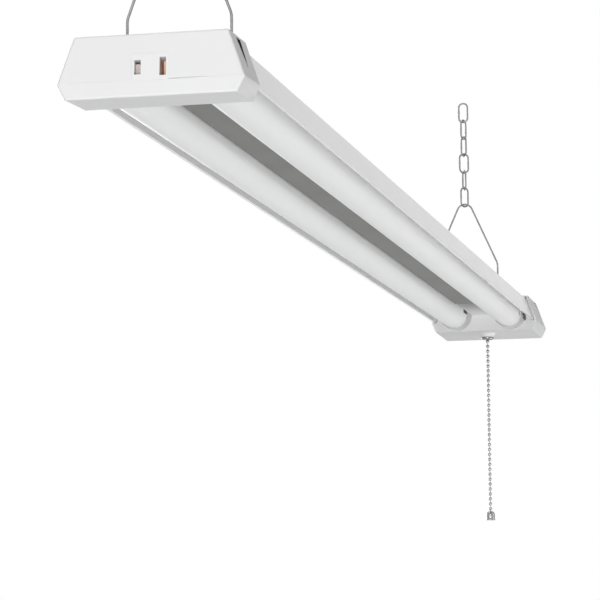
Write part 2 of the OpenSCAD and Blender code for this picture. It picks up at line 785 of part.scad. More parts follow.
// Live and neutral leads from the terminal block to the outlet, along the channel
module supply_leads() {
    x0 = -end_x + outlet_depth + 6;
    x1 = terminal_x - terminal_l / 2;
    color(DARK)
        for (k = [0, 1])
            translate([0, 0, lead_z + k * (lead_d + 0.4)])
                bent_wire([[-end_x + outlet_depth + 1.2, (1 - 2 * k) * slot_spacing / 2],
                           [x0, (1 - 2 * k) * slot_spacing / 2], [x0 + 16, lead_y], [x1, lead_y]],
                          [4, 4], lead_d);
}

terminal_l = 14;
terminal_x = end_x - 21;
terminal_w = 16;
terminal_y = housing_top_w / 2 - 14;

module terminal_block() {
    top = -sheet_t;
    low = tray_z + sheet_t + 0.4;
    color(WHITE_PLASTIC) difference() {
        block([terminal_x - terminal_l / 2, terminal_y - terminal_w / 2, low],
              [terminal_x + terminal_l / 2, terminal_y + terminal_w / 2, top]);
        for (k = [-1, 1]) translate([terminal_x, terminal_y + k * 4, low - 1]) cylinder(h = 5, d = 3);
    }
}

ground_screw_d = 4;
ground_x = end_x - 30;
ground_y = 14 - housing_top_w / 2;

// The ground screw under the top plate, with its washer and ring tag
module ground_screw() {
    color(BRASS) translate([ground_x, ground_y, 0]) {
        translate([0, 0, -6]) cylinder(h = 6, d = ground_screw_d - hair);
        translate([0, 0, -sheet_t - 1]) cylinder(h = 1, d = 9);
        difference() {
            translate([0, 0, -6 - 2]) cylinder(h = 2.4, d = 7.6);
            translate([0, 0, -8]) cube([9, 1, 1.6], center = true);
        }
    }
}

gland_z = -12;
gland_flange_d = 15;
gland_seat_x = end_x - end_lean;
gland_inside = 9;
gland_outside = 6;

// The cord's gland, seated on a flat round the hole in the far cap's end
module cord_gland() {
    color(DARK) translate([gland_seat_x, 0, gland_z]) rotate([0, 90, 0]) difference() {
        union() {
            translate([0, 0, -gland_inside]) cylinder(h = gland_inside + eps, d = gland_d - 0.2);
            cylinder(h = 2.2, d1 = gland_flange_d, d2 = gland_flange_d - 1.5);
            translate([0, 0, 2]) cylinder(h = gland_outside - 2, d1 = gland_d + 1, d2 = gland_d);
        }
        translate([0, 0, -gland_inside - 1]) cylinder(h = gland_inside + gland_outside + 2, d = gland_bore);
    }
}

module gland_nut() {
    nut_h = 4;
    color(DARK) translate([end_x - end_lean - cap_wall - 0.2 - nut_h, 0, gland_z]) rotate([0, 90, 0])
        difference() {
            cylinder(h = nut_h, d = 17, $fn = 6);
            translate([0, 0, -1]) cylinder(h = nut_h + 2, d = gland_d - 0.2);
        }
}

// ---------- pull switch ----------

switch_l = 28;
switch_w = 20;
switch_wall = 1.2;
switch_z0 = far_bottom_z + cap_wall + 3.4;
switch_z1 = -5;
mouth_z = far_bottom_z - boss_h;
wheel_r = 5;
wheel_w = 5;
wheel_x = pull_x + 8.4;
wheel_z = switch_z1 - switch_wall - wheel_r - 0.8;
axle_d = 2;

// The switch box: two walls carry the axle, and a bore in its floor guides the slider
module switch_body() {
    color(DARK) difference() {
        block([pull_x - switch_l / 2 + 3, -switch_w / 2, switch_z0],
              [pull_x + switch_l / 2 + 3, switch_w / 2, switch_z1]);
        block([pull_x - switch_l / 2 + 3 + switch_wall, -switch_w / 2 + switch_wall, switch_z0 + switch_wall],
              [pull_x + switch_l / 2 + 3 - switch_wall, switch_w / 2 - switch_wall, switch_z1 - switch_wall]);
        translate([pull_x, 0, switch_z0 - 1]) cylinder(h = 4, d = bush_thread_d - 1);
        translate([wheel_x, 0, wheel_z]) rotate([90, 0, 0])
            cylinder(h = switch_w + 2, d = axle_d, center = true);
    }
}

// The threaded bush with its flared mouth, which the pull chain runs through
module switch_bush() {
    flare_h = 2.2;
    color(ZINC) translate([pull_x, 0, 0]) rotate_extrude()
        polygon([[mouth_bore / 2, switch_z0 + 2], [bush_thread_d / 2 - 0.5, switch_z0 + 2],
                 [bush_thread_d / 2 - 0.5, switch_z0], [bush_thread_d / 2 - hair, switch_z0],
                 [bush_thread_d / 2 - hair, mouth_z], [mouth_d / 2, mouth_z],
                 [mouth_d / 2, mouth_z - 0.8], [mouth_d / 2 - 0.5, mouth_z - flare_h + 0.3],
                 [mouth_d / 2 - 1, mouth_z - flare_h], [mouth_d / 2 - 1.4, mouth_z - flare_h + 0.4],
                 [mouth_bore / 2 + 0.6, mouth_z - 0.6], [mouth_bore / 2, mouth_z]]);
}

module switch_nut() {
    color(ZINC) translate([pull_x, 0, far_bottom_z + cap_wall + 0.4]) difference() {
        cylinder(h = 2, d = 14, $fn = 6);
        translate([0, 0, -1]) cylinder(h = 4, d = bush_thread_d - 2 * hair);
    }
}

slider_d = mouth_bore - 0.8;
slider_top = wheel_z + 4;
slider_low = switch_z0 + 3 + pull_travel - 5;

// The slider that the chain pulls down: a guided stem with a pawl beside the wheel
module switch_slider() {
    color(WHITE_PLASTIC) translate([pull_x, 0, 0]) {
        translate([0, 0, lead_top_z]) cylinder(h = slider_top - lead_top_z, d = 2);
        block([-1.5, -2, slider_top - 4], [1.5, 2, slider_top]);
        block([1.4, -1.2, wheel_z + 1], [wheel_x - pull_x - wheel_r - 0.35, 1.2, wheel_z + 2.4]);
    }
}

// The toothed wheel that each pull turns on, with its axle
module switch_wheel() {
    teeth = 8;
    color(BRASS) translate([wheel_x, 0, wheel_z]) rotate([90, 0, 0]) {
        difference() {
            cylinder(h = wheel_w, r = wheel_r, center = true);
            for (k = [0:teeth - 1]) rotate([0, 0, k * 360 / teeth])
                translate([wheel_r, 0, 0]) rotate([0, 0, 35]) cube([2, 1.4, wheel_w + 1], center = true);
        }
        cylinder(h = switch_w, d = axle_d - 0.1, center = true);
    }
}

// The spring that lifts the slider again, as a stack of turns round its stem
module switch_spring() {
    turns = 4;
    wire = 0.6;
    low = switch_z0 + 2.2;
    high = slider_top - 4.2;
    color(ZINC) translate([pull_x, 0, 0])
        for (k = [0:turns - 1])
            translate([0, 0, low + wire / 2 + (high - low - wire) * k / (turns - 1)])
                rotate_extrude() translate([1.8, 0]) circle(d = wire, $fn = 16);
}

module switch_contacts() {
    color(BRASS)
        for (side = [-1, 1])
            block([pull_x + switch_l / 2 + 3 - switch_wall - 0.6, side * 5 - 2, switch_z0 + 4],
                  [pull_x + switch_l / 2 + 3 - switch_wall, side * 5 + 2, switch_z1 - 3]);
}

bead_r = bead_d / 2;
first_bead_z = mouth_z - 2.2 - bead_r - 0.2;
lead_top_z = first_bead_z + 4 * bead_pitch;
joint_gap = 0.3;

// Beads threaded on wire, from the height z downwards; the wire runs from top to bottom
module bead_string(z, count, top, bottom) {
    translate([pull_x, 0, 0]) rotate_extrude()
        intersection() {
            union() {
                translate([0, bottom]) square([bead_neck_d / 2, top - bottom]);
                for (k = [0:count - 1]) translate([0, z - k * bead_pitch]) circle(d = bead_d);
            }
            translate([0, bottom - 1000]) square([bead_d, 2000]);
        }
}

// The beads inside the bush, from the slider to the first bead in view
module pull_lead() {
    color(ZINC) bead_string(first_bead_z + 3 * bead_pitch, 4, lead_top_z, first_bead_z);
}

// The second bead, which lets the chain swing sideways
module pull_joint_bead() {
    z = first_bead_z - bead_pitch;
    color(ZINC) bead_string(z, 1, first_bead_z - bead_r - joint_gap, z);
}

chain_top_z = first_bead_z - 2 * bead_pitch;
chain_end_z = chain_top_z - (bead_count - 3) * bead_pitch;

module pull_chain() {
    color(ZINC)
        bead_string(chain_top_z, bead_count - 2,
                    chain_top_z + bead_pitch - bead_r - joint_gap, chain_end_z);
}

// The bell at the chain's end, which holds the last bead in its neck
module pull_bell() {
    wall = 0.6;
    hole_r = bead_neck_d / 2 + 0.2;
    shoulder_z = chain_end_z + bead_r + 0.05;
    waist_z = chain_end_z - bead_r;
    low = shoulder_z + wall - bell_h;
    rim_r = bell_d / 2;
    color(ZINC) translate([pull_x, 0, 0]) rotate_extrude()
        polygon([[hole_r, shoulder_z + wall], [bead_r - 0.1, shoulder_z + wall],
                 [bead_r + wall, shoulder_z - 0.5], [bead_r + wall + 0.1, waist_z + 0.8],
                 [rim_r - 0.5, low + 1.4], [rim_r, low + 0.4], [rim_r, low],
                 [rim_r - wall, low], [rim_r - wall - 0.5, low + 1.2],
                 [bead_r + 0.1, waist_z + 0.6], [bead_r + 0.05, shoulder_z - 0.8],
                 [bead_r - 0.5, shoulder_z], [hole_r, shoulder_z]]);
}

// ---------- hangers and chains ----------

LINKS = 6;
NEAR_LINKS = 5;
leg_bend_r = 10;
link_turn = [0, 66, -49, 22, -62, 47];
link_step = link_length - 2 * link_wire - link_gap;
// The near hanger is taller by the links that its chain has fewer than the far one
near_top_z = hanger_top_z + (LINKS - NEAR_LINKS) * link_step;
// Height of the middle of link k, where link 6 carries the far hanger and link 1 the hook
function link_z(k) =
    hanger_top_z - hanger_wire - link_gap - link_wire + link_length / 2 + (LINKS - k) * link_step;

// Half of the angle between the two slanting legs, found from the legs' bend and the arch's centre
function arch_half_angle(bend_z, top_z) =
    let (dy = hanger_leg_y, dz = top_z - hanger_wire / 2 - arch_r - bend_z)
    90 - atan2(dz, dy) - asin(arch_r / norm([dy, dz]));
// The sharp apex that the arch rounds off
function arch_apex_z(bend_z, top_z) =
    top_z - hanger_wire / 2 + arch_r * (1 / sin(arch_half_angle(bend_z, top_z)) - 1);

module hanger(x, bend_z, top_z) {
    leg = hanger_leg_y;
    tip = leg + foot_length;
    color(ZINC) translate([x, 0, 0]) rotate([90, 0, 90])
        bent_wire([[-tip, foot_z], [-leg, foot_z], [-leg, bend_z], [0, arch_apex_z(bend_z, top_z)],
                   [leg, bend_z], [leg, foot_z], [tip, foot_z]],
                  [2, leg_bend_r, arch_r, leg_bend_r, 2], hanger_wire);
}

module near_hanger() { hanger(near_hanger_x, near_bend_z, near_top_z); }
module far_hanger() { hanger(far_hanger_x, far_bend_z, hanger_top_z); }

// One welded link, standing in the YZ plane about its middle
module chain_link() {
    end_r = (link_w - link_wire) / 2;
    straight = link_length - link_w;
    for (s = [0, 1]) mirror([0, 0, s])
        translate([0, 0, straight / 2]) rotate([90, 0, 90])
            rotate_extrude(angle = 180) translate([end_r, 0]) circle(d = link_wire);
    for (side = [-1, 1])
        translate([0, side * end_r, -straight / 2]) cylinder(h = straight, d = link_wire);
}

module link(x, k) {
    color(ZINC) translate([x, 0, link_z(k)]) rotate([0, 0, link_turn[k - 1]]) chain_link();
}

housing();
reflector_tray();
driver_cover();
cover_screws();
near_cap();
far_cap();
cap_screws();
diffuser(1);  // left_diffuser
diffuser(-1);  // right_diffuser
rail(1);  // left_rail
rail(-1);  // right_rail
led_board(1);  // left_led_board
led_board(-1);  // right_led_board
emitters(1);  // left_emitters
emitters(-1);  // right_emitters
tube_ends(1);  // left_tube_ends
tube_ends(-1);  // right_tube_ends
tube_clips();
driver_case();
driver_board();
driver_parts();
supply_leads();
ground_screw();
terminal_block();
cord_gland();
gland_nut();
outlet_body();
live_contact();
neutral_contact();
switch_body();
switch_bush();
switch_nut();
switch_slider();
switch_wheel();
switch_spring();
switch_contacts();
pull_lead();
pull_joint_bead();
pull_chain();
pull_bell();
near_hanger();
far_hanger();
link(near_hanger_x, 1);  // near_link_1
link(near_hanger_x, 2);  // near_link_2
link(near_hanger_x, 3);  // near_link_3
link(near_hanger_x, 4);  // near_link_4
link(near_hanger_x, 5);  // near_link_5
link(far_hanger_x, 1);  // far_link_1
link(far_hanger_x, 2);  // far_link_2
link(far_hanger_x, 3);  // far_link_3
link(far_hanger_x, 4);  // far_link_4
link(far_hanger_x, 5);  // far_link_5
link(far_hanger_x, 6);  // far_link_6
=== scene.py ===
"""Looks of a hanging shop light with two tubes, two link chains and a pull chain switch.

Every length is in metres, in the row frame: +X runs along the light to the pull chain end,
+Z is up, and the origin is on the housing's top plate.
"""

import json
import logging
import math
from dataclasses import dataclass, field
from enum import Enum

import bmesh
import bpy
from mathutils import Matrix, Vector

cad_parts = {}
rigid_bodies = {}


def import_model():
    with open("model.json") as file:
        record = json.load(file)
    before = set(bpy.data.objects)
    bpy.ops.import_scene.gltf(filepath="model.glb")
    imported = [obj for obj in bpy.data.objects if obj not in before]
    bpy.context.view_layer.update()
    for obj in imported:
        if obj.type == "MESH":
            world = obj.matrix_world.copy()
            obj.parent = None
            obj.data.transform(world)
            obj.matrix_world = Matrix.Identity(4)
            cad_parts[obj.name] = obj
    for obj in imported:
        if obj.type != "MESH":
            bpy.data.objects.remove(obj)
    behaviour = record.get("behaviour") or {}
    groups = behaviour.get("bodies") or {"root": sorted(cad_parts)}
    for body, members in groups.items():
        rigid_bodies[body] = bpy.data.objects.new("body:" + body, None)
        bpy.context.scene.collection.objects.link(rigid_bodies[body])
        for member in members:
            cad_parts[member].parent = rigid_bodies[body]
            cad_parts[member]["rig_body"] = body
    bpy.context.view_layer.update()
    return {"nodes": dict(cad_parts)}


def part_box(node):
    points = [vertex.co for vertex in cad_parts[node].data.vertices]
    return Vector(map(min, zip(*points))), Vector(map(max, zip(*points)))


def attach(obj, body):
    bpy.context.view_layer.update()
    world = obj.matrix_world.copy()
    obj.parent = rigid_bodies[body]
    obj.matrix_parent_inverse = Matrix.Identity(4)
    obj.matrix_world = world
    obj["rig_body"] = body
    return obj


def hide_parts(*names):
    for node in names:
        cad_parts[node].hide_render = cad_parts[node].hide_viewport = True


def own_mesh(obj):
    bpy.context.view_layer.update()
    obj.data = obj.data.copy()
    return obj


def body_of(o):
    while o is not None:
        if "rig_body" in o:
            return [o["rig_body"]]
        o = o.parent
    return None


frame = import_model()

log = logging.getLogger("shop_light")
MM = 0.001

# Corners closer than this, in millimetres, are one corner
MERGE_DISTANCE = 0.001

# Values that every finish shares, with depths in metres
COAT_ROUGHNESS = 0.12
GLOW_DEPTH = 0.004
RELIEF_DEPTH = 0.0004
MARKS_ROUGHEN = 0.22
COARSE_GRAIN_RATIO = 0.12

# Drawn wire turns by about this many radians in a step, in no fewer steps than this
BEND_STEP = 0.16
BEND_STEPS_LEAST = 4


# ---------------------------------------------------------------- shader groups


def link(tree: bpy.types.NodeTree, source: bpy.types.NodeSocket,
         target: bpy.types.NodeSocket) -> None:
    """Joins two sockets of one node tree."""
    tree.links.new(source, target)


def new_group(name: str, inputs: dict[str, float],
              outputs: list[str]) -> bpy.types.NodeTree:
    """Makes an empty shader node group.

    Args:
        name: the group's name.
        inputs: the name and the starting value of each number that it takes.
        outputs: the name of each number that it gives.

    Returns:
        The group, with its sockets.
    """
    group = bpy.data.node_groups.new(name, "ShaderNodeTree")
    for title, value in inputs.items():
        socket = group.interface.new_socket(title, in_out="INPUT", socket_type="NodeSocketFloat")
        socket.default_value = value
    for title in outputs:
        group.interface.new_socket(title, in_out="OUTPUT", socket_type="NodeSocketFloat")
    return group


class SurfaceGroups:
    """The shader node groups that several finishes share, each made once."""

    def __init__(self) -> None:
        """Builds the groups."""
        self.grain = self._grain()
        self.handling = self._handling()
        self.brush = self._brush()

    def _grain(self) -> bpy.types.NodeTree:
        """A fine pebbled height, as on sprayed paint and moulded plastic.

        Returns:
            The group, which gives a height.
        """
        group = new_group("surface_grain", {"Scale": 900.0, "Coarse Share": 0.3}, ["Height"])
        nodes = group.nodes
        entry, leave = nodes.new("NodeGroupInput"), nodes.new("NodeGroupOutput")
        coords = nodes.new("ShaderNodeTexCoord")
        fine, coarse = nodes.new("ShaderNodeTexNoise"), nodes.new("ShaderNodeTexNoise")
        fine.inputs["Detail"].default_value = 3.0
        coarse.inputs["Detail"].default_value = 2.0
        slower = nodes.new("ShaderNodeMath")
        slower.operation = "MULTIPLY"
        slower.inputs[1].default_value = COARSE_GRAIN_RATIO
        blend = nodes.new("ShaderNodeMix")
        link(group, coords.outputs["Object"], fine.inputs["Vector"])
        link(group, coords.outputs["Object"], coarse.inputs["Vector"])
        link(group, entry.outputs["Scale"], fine.inputs["Scale"])
        link(group, entry.outputs["Scale"], slower.inputs[0])
        link(group, slower.outputs[0], coarse.inputs["Scale"])
        link(group, entry.outputs["Coarse Share"], blend.inputs["Factor"])
        link(group, fine.outputs["Fac"], blend.inputs["A"])
        link(group, coarse.outputs["Fac"], blend.inputs["B"])
        link(group, blend.outputs["Result"], leave.inputs["Height"])
        return group

    def _handling(self) -> bpy.types.NodeTree:
        """A slow mask of dust and handling marks.

        Returns:
            The group, which gives a mask from 0 to 1.
        """
        group = new_group("handling_marks", {"Scale": 14.0, "Amount": 0.4}, ["Mask"])
        nodes = group.nodes
        entry, leave = nodes.new("NodeGroupInput"), nodes.new("NodeGroupOutput")
        coords = nodes.new("ShaderNodeTexCoord")
        cloud = nodes.new("ShaderNodeTexNoise")
        cloud.inputs["Detail"].default_value = 6.0
        cloud.inputs["Roughness"].default_value = 0.65
        spread = nodes.new("ShaderNodeMapRange")
        spread.inputs["From Min"].default_value = 0.4
        spread.inputs["From Max"].default_value = 0.75
        amount = nodes.new("ShaderNodeMath")
        amount.operation = "MULTIPLY"
        link(group, coords.outputs["Object"], cloud.inputs["Vector"])
        link(group, entry.outputs["Scale"], cloud.inputs["Scale"])
        link(group, cloud.outputs["Fac"], spread.inputs["Value"])
        link(group, spread.outputs["Result"], amount.inputs[0])
        link(group, entry.outputs["Amount"], amount.inputs[1])
        link(group, amount.outputs[0], leave.inputs["Mask"])
        return group

    def _brush(self) -> bpy.types.NodeTree:
        """Fine drawn lines along X, as on rolled or extruded metal.

        Returns:
            The group, which gives a height.
        """
        group = new_group("drawn_lines", {"Scale": 1400.0}, ["Height"])
        nodes = group.nodes
        entry, leave = nodes.new("NodeGroupInput"), nodes.new("NodeGroupOutput")
        coords = nodes.new("ShaderNodeTexCoord")
        stretch = nodes.new("ShaderNodeMapping")
        stretch.inputs["Scale"].default_value = (0.01, 1.0, 1.0)
        lines = nodes.new("ShaderNodeTexNoise")
        lines.inputs["Detail"].default_value = 2.0
        link(group, coords.outputs["Object"], stretch.inputs["Vector"])
        link(group, stretch.outputs["Vector"], lines.inputs["Vector"])
        link(group, entry.outputs["Scale"], lines.inputs["Scale"])
        link(group, lines.outputs["Fac"], leave.inputs["Height"])
        return group


class Texture(Enum):
    """Which fine relief a finish carries."""

    GRAIN = "grain"
    BRUSH = "brush"


@dataclass(frozen=True)
class Finish:
    """One finish of the light's surfaces.

    Colours are written in linear light. `marks` darkens the colour and roughens the surface
    a little where handling shows. The last field, where given, paints shade: the colour darkens
    along X towards one end of the light.
    """

    name: str
    color: tuple[float, float, float]
    roughness: float = 0.4
    metallic: float = 0.0
    texture: Texture = Texture.GRAIN
    relief_scale: float = 900.0
    relief: float = 0.05
    marks: float = 0.3
    marks_scale: float = 14.0
    marks_tint: float = 0.93
    coat: float = 0.0
    subsurface: float = 0.0
    specular: float = 0.5
    # Painted shade along X: the darkest place, the place where it ends, and the darkest tone's
    # share
    painted_shade_run: tuple[float, float, float] | None = None

    def _with_painted_shade(self, tree: bpy.types.NodeTree, color: bpy.types.NodeSocket) -> bpy.types.NodeSocket:
        """Paints shade into a colour, darkening it along X towards one end of the light.

        Args:
            tree: the material's node tree.
            color: the socket that gives the plain colour.

        Returns:
            The socket that gives the colour with its painted shade. The painted-shade setting holds
            the place of the darkest painted shade, the place where the painted shade ends, both in
            metres, and the darkest tone's share.
        """
        deep_x, clear_x, share = self.painted_shade_run
        coords = tree.nodes.new("ShaderNodeTexCoord")
        split = tree.nodes.new("ShaderNodeSeparateXYZ")
        run = tree.nodes.new("ShaderNodeMapRange")
        run.interpolation_type = "SMOOTHSTEP"
        run.inputs["From Min"].default_value = deep_x
        run.inputs["From Max"].default_value = clear_x
        run.inputs["To Min"].default_value = share
        scale = tree.nodes.new("ShaderNodeVectorMath")
        scale.operation = "SCALE"
        link(tree, coords.outputs["Object"], split.inputs[0])
        link(tree, split.outputs["X"], run.inputs["Value"])
        link(tree, color, scale.inputs[0])
        link(tree, run.outputs["Result"], scale.inputs["Scale"])
        return scale.outputs["Vector"]

    def build(self, groups: SurfaceGroups) -> bpy.types.Material:
        """Makes the finish's material.

        Args:
            groups: the shared shader node groups.

        Returns:
            The new material.
        """
        material = bpy.data.materials.new(self.name)
        material.use_nodes = True
        tree = material.node_tree
        shader = tree.nodes["Principled BSDF"]
        shader.inputs["Metallic"].default_value = self.metallic
        shader.inputs["Coat Weight"].default_value = self.coat
        shader.inputs["Coat Roughness"].default_value = COAT_ROUGHNESS
        shader.inputs["Specular IOR Level"].default_value = self.specular
        if self.subsurface:
            shader.inputs["Subsurface Weight"].default_value = self.subsurface
            shader.inputs["Subsurface Scale"].default_value = GLOW_DEPTH
            shader.inputs["Subsurface Radius"].default_value = (1.0, 1.0, 1.0)
        marks = tree.nodes.new("ShaderNodeGroup")
        marks.node_tree = groups.handling
        marks.inputs["Scale"].default_value = self.marks_scale
        marks.inputs["Amount"].default_value = self.marks
        tint = tree.nodes.new("ShaderNodeMix")
        tint.data_type = "RGBA"
        tint.inputs["A"].default_value = (*self.color, 1.0)
        tint.inputs["B"].default_value = (*[c * self.marks_tint for c in self.color], 1.0)
        link(tree, marks.outputs["Mask"], tint.inputs["Factor"])
        tone = tint.outputs["Result"]
        # Painted shade: the colour darkens towards one end of the light
        if self.painted_shade_run:
            tone = self._with_painted_shade(tree, tone)
        link(tree, tone, shader.inputs["Base Color"])
        rough = tree.nodes.new("ShaderNodeMapRange")
        rough.inputs["To Min"].default_value = self.roughness
        rough.inputs["To Max"].default_value = min(1.0, self.roughness + MARKS_ROUGHEN)
        link(tree, marks.outputs["Mask"], rough.inputs["Value"])
        link(tree, rough.outputs["Result"], shader.inputs["Roughness"])
        relief = tree.nodes.new("ShaderNodeGroup")
        relief.node_tree = groups.grain if self.texture is Texture.GRAIN else groups.brush
        relief.inputs["Scale"].default_value = self.relief_scale
        bump = tree.nodes.new("ShaderNodeBump")
        bump.inputs["Strength"].default_value = self.relief
        bump.inputs["Distance"].default_value = RELIEF_DEPTH
        link(tree, relief.outputs["Height"], bump.inputs["Height"])
        link(tree, bump.outputs["Normal"], shader.inputs["Normal"])
        return material


WHITE_PAINT = Finish("white_paint", (0.70, 0.70, 0.695), roughness=0.3, relief=0.05, coat=0.6)
GREY_PAINT = Finish("grey_paint", (0.165, 0.165, 0.157), roughness=0.5, relief=0.05, specular=0.35)
CAP_PLASTIC = Finish("cap_plastic", (0.80, 0.80, 0.805), roughness=0.5, relief=0.04,
                     relief_scale=1500.0, specular=0.15)
BELL_METAL = Finish("bell_metal", (0.28, 0.277, 0.273), roughness=0.3, metallic=1.0, relief=0.02,
                    marks=0.3, marks_scale=400.0, marks_tint=0.8)
BUSH_METAL = Finish("bush_metal", (0.22, 0.22, 0.225), roughness=0.22, metallic=1.0, relief=0.03,
                    marks=0.4, marks_scale=300.0, marks_tint=0.7)
# Cap plastic with painted shade: darkest where the tongue starts between the tubes, clear at the
# far cap's mouth
TONGUE_PAINTED_SHADE = Finish("tongue_painted_shade", (0.80, 0.80, 0.80), roughness=0.5, relief=0.04,
                        specular=0.15, relief_scale=1500.0, painted_shade_run=(0.42, 0.512, 0.34))
MILKY_PLASTIC = Finish("milky_plastic", (0.92, 0.925, 0.93), roughness=0.36, relief=0.02,
                       subsurface=0.1, marks=0.2, specular=0.5)
TUBE_END = Finish("tube_end_plastic", (0.46, 0.46, 0.455), roughness=0.28, relief=0.03, coat=0.4)
ZINC = Finish("zinc_wire", (0.22, 0.22, 0.225), roughness=0.38, metallic=1.0, relief=0.08,
              relief_scale=2500.0, marks=0.5, marks_scale=300.0, marks_tint=0.7)
NICKEL = Finish("nickel", (0.34, 0.335, 0.33), roughness=0.4, metallic=1.0, relief=0.02,
                marks=0.4, marks_scale=400.0, marks_tint=0.75)
ALUMINIUM = Finish("extruded_aluminium", (0.72, 0.73, 0.74), roughness=0.35, metallic=1.0,
                   texture=Texture.BRUSH, relief=0.15)
TINNED_BRASS = Finish("tinned_brass", (0.45, 0.38, 0.36), roughness=0.45, relief=0.04)
COPPER_LEAF = Finish("copper_leaf", (0.58, 0.35, 0.25), roughness=0.45, relief=0.04)
# Near-black coat on the inner faces of the caps, housing and tray: painted shade inside the shells,
# darker than the real grey backer of coil steel
BACKER_AND_PAINTED_SHADE = Finish("backer_and_painted_shade", (0.07, 0.07, 0.068), roughness=0.75, relief=0.05,
                      specular=0.2)
BRASS = Finish("brass", (0.62, 0.36, 0.16), roughness=0.3, metallic=1.0, relief=0.04, marks=0.6,
               marks_scale=200.0, marks_tint=0.6)
PLATE_STEEL = Finish("plated_steel", (0.5, 0.5, 0.5), roughness=0.35, metallic=1.0,
                     texture=Texture.BRUSH, relief=0.1)
BLACK_PLASTIC = Finish("black_plastic", (0.03, 0.03, 0.032), roughness=0.5, relief=0.08)
BOARD_GREEN = Finish("circuit_board", (0.02, 0.12, 0.05), roughness=0.35, relief=0.02)
BOARD_WHITE = Finish("white_board", (0.75, 0.75, 0.72), roughness=0.4, relief=0.02)
PHOSPHOR = Finish("emitter", (0.85, 0.68, 0.18), roughness=0.3, relief=0.02)
LEAD_SKIN = Finish("lead_skin", (0.02, 0.02, 0.02), roughness=0.6, relief=0.05)
OUTLET_PLASTIC = Finish("outlet_plastic", (0.81, 0.81, 0.815), roughness=0.4, relief=0.02,
                        specular=0.15)


class Palette:
    """Builds each finish once and puts it on objects."""

    def __init__(self) -> None:
        """Starts with the shared groups and no materials."""
        self.groups = SurfaceGroups()
        self._made: dict[str, bpy.types.Material] = {}

    def material(self, finish: Finish) -> bpy.types.Material:
        """The material of a finish, made on its first use.

        Args:
            finish: the finish.

        Returns:
            Its material.
        """
        if finish.name not in self._made:
            self._made[finish.name] = finish.build(self.groups)
        return self._made[finish.name]

    def dress(self, item: bpy.types.Object, finish: Finish) -> None:
        """Gives an object one finish all over."""
        item.data.materials.clear()
        item.data.materials.append(self.material(finish))


# ---------------------------------------------------------------- carried-over nodes

NODE_FINISH: dict[str, Finish] = {
    "housing": WHITE_PAINT, "reflector_tray": WHITE_PAINT, "driver_cover": GREY_PAINT,
    "cover_screws": BLACK_PLASTIC,
    "near_cap": CAP_PLASTIC, "far_cap": CAP_PLASTIC, "cap_screws": PLATE_STEEL,
    "left_diffuser": MILKY_PLASTIC, "right_diffuser": MILKY_PLASTIC,
    "left_rail": ALUMINIUM, "right_rail": ALUMINIUM,
    "left_led_board": BOARD_WHITE, "right_led_board": BOARD_WHITE,
    "left_emitters": PHOSPHOR, "right_emitters": PHOSPHOR,
    "left_tube_ends": TUBE_END, "right_tube_ends": TUBE_END, "tube_clips": PLATE_STEEL,
    "driver_case": PLATE_STEEL, "driver_board": BOARD_GREEN, "driver_parts": BLACK_PLASTIC,
    "supply_leads": LEAD_SKIN, "ground_screw": BRASS, "terminal_block": OUTLET_PLASTIC,
    "cord_gland": BLACK_PLASTIC, "gland_nut": BLACK_PLASTIC, "outlet_body": OUTLET_PLASTIC,
    "live_contact": TINNED_BRASS, "neutral_contact": COPPER_LEAF, "switch_body": BLACK_PLASTIC,
    "switch_bush": NICKEL, "switch_nut": PLATE_STEEL, "switch_slider": OUTLET_PLASTIC,
    "switch_wheel": BRASS, "switch_spring": NICKEL, "switch_contacts": BRASS,
    "pull_lead": NICKEL, "pull_joint_bead": NICKEL, "pull_chain": NICKEL, "pull_bell": NICKEL,
    "near_hanger": ZINC, "far_hanger": ZINC,
    **{f"near_link_{k}": ZINC for k in range(1, 6)},
    **{f"far_link_{k}": ZINC for k in range(1, 7)},
}


def smooth(item: bpy.types.Object, angle_deg: float = 35.0) -> None:
    """Shades an object smooth, except over sharp edges.

    Args:
        item: the object.
        angle_deg: edges that fold more than this stay sharp.
    """
    for polygon in item.data.polygons:
        polygon.use_smooth = True
    item.data.set_sharp_from_angle(angle=math.radians(angle_deg))


def dress_nodes(palette: Palette) -> None:
    """Gives every carried-over node its finish."""
    for name, finish in NODE_FINISH.items():
        palette.dress(frame["nodes"][name], finish)


# ---------------------------------------------------------------- shared modelling


def span(node: str) -> tuple[Vector, Vector]:
    """The lowest and highest corners of a carried-over node, in millimetres."""
    low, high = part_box(node)
    return low / MM, high / MM


def node_copy(node: str) -> bmesh.types.BMesh:
    """Copies a carried-over node's mesh.

    Args:
        node: the node's name.

    Returns:
        The copy, in millimetres.
    """
    mesh = bmesh.new()
    mesh.from_mesh(frame["nodes"][node].data)
    bmesh.ops.scale(mesh, vec=(1 / MM, 1 / MM, 1 / MM), verts=mesh.verts)
    return mesh


def push(mesh: bmesh.types.BMesh, face: bmesh.types.BMFace,
         stride: Vector) -> list[bmesh.types.BMElemSeq]:
    """Extrudes a face into a closed bar.

    Args:
        mesh: the mesh that holds the face.
        face: the face to push on.
        stride: how far and which way.

    Returns:
        The new faces, edges and corners.
    """
    made = bmesh.ops.extrude_face_region(mesh, geom=[face, *face.edges, *face.verts])["geom"]
    corners = [part for part in made if isinstance(part, bmesh.types.BMVert)]
    bmesh.ops.translate(mesh, verts=corners, vec=stride)
    return made


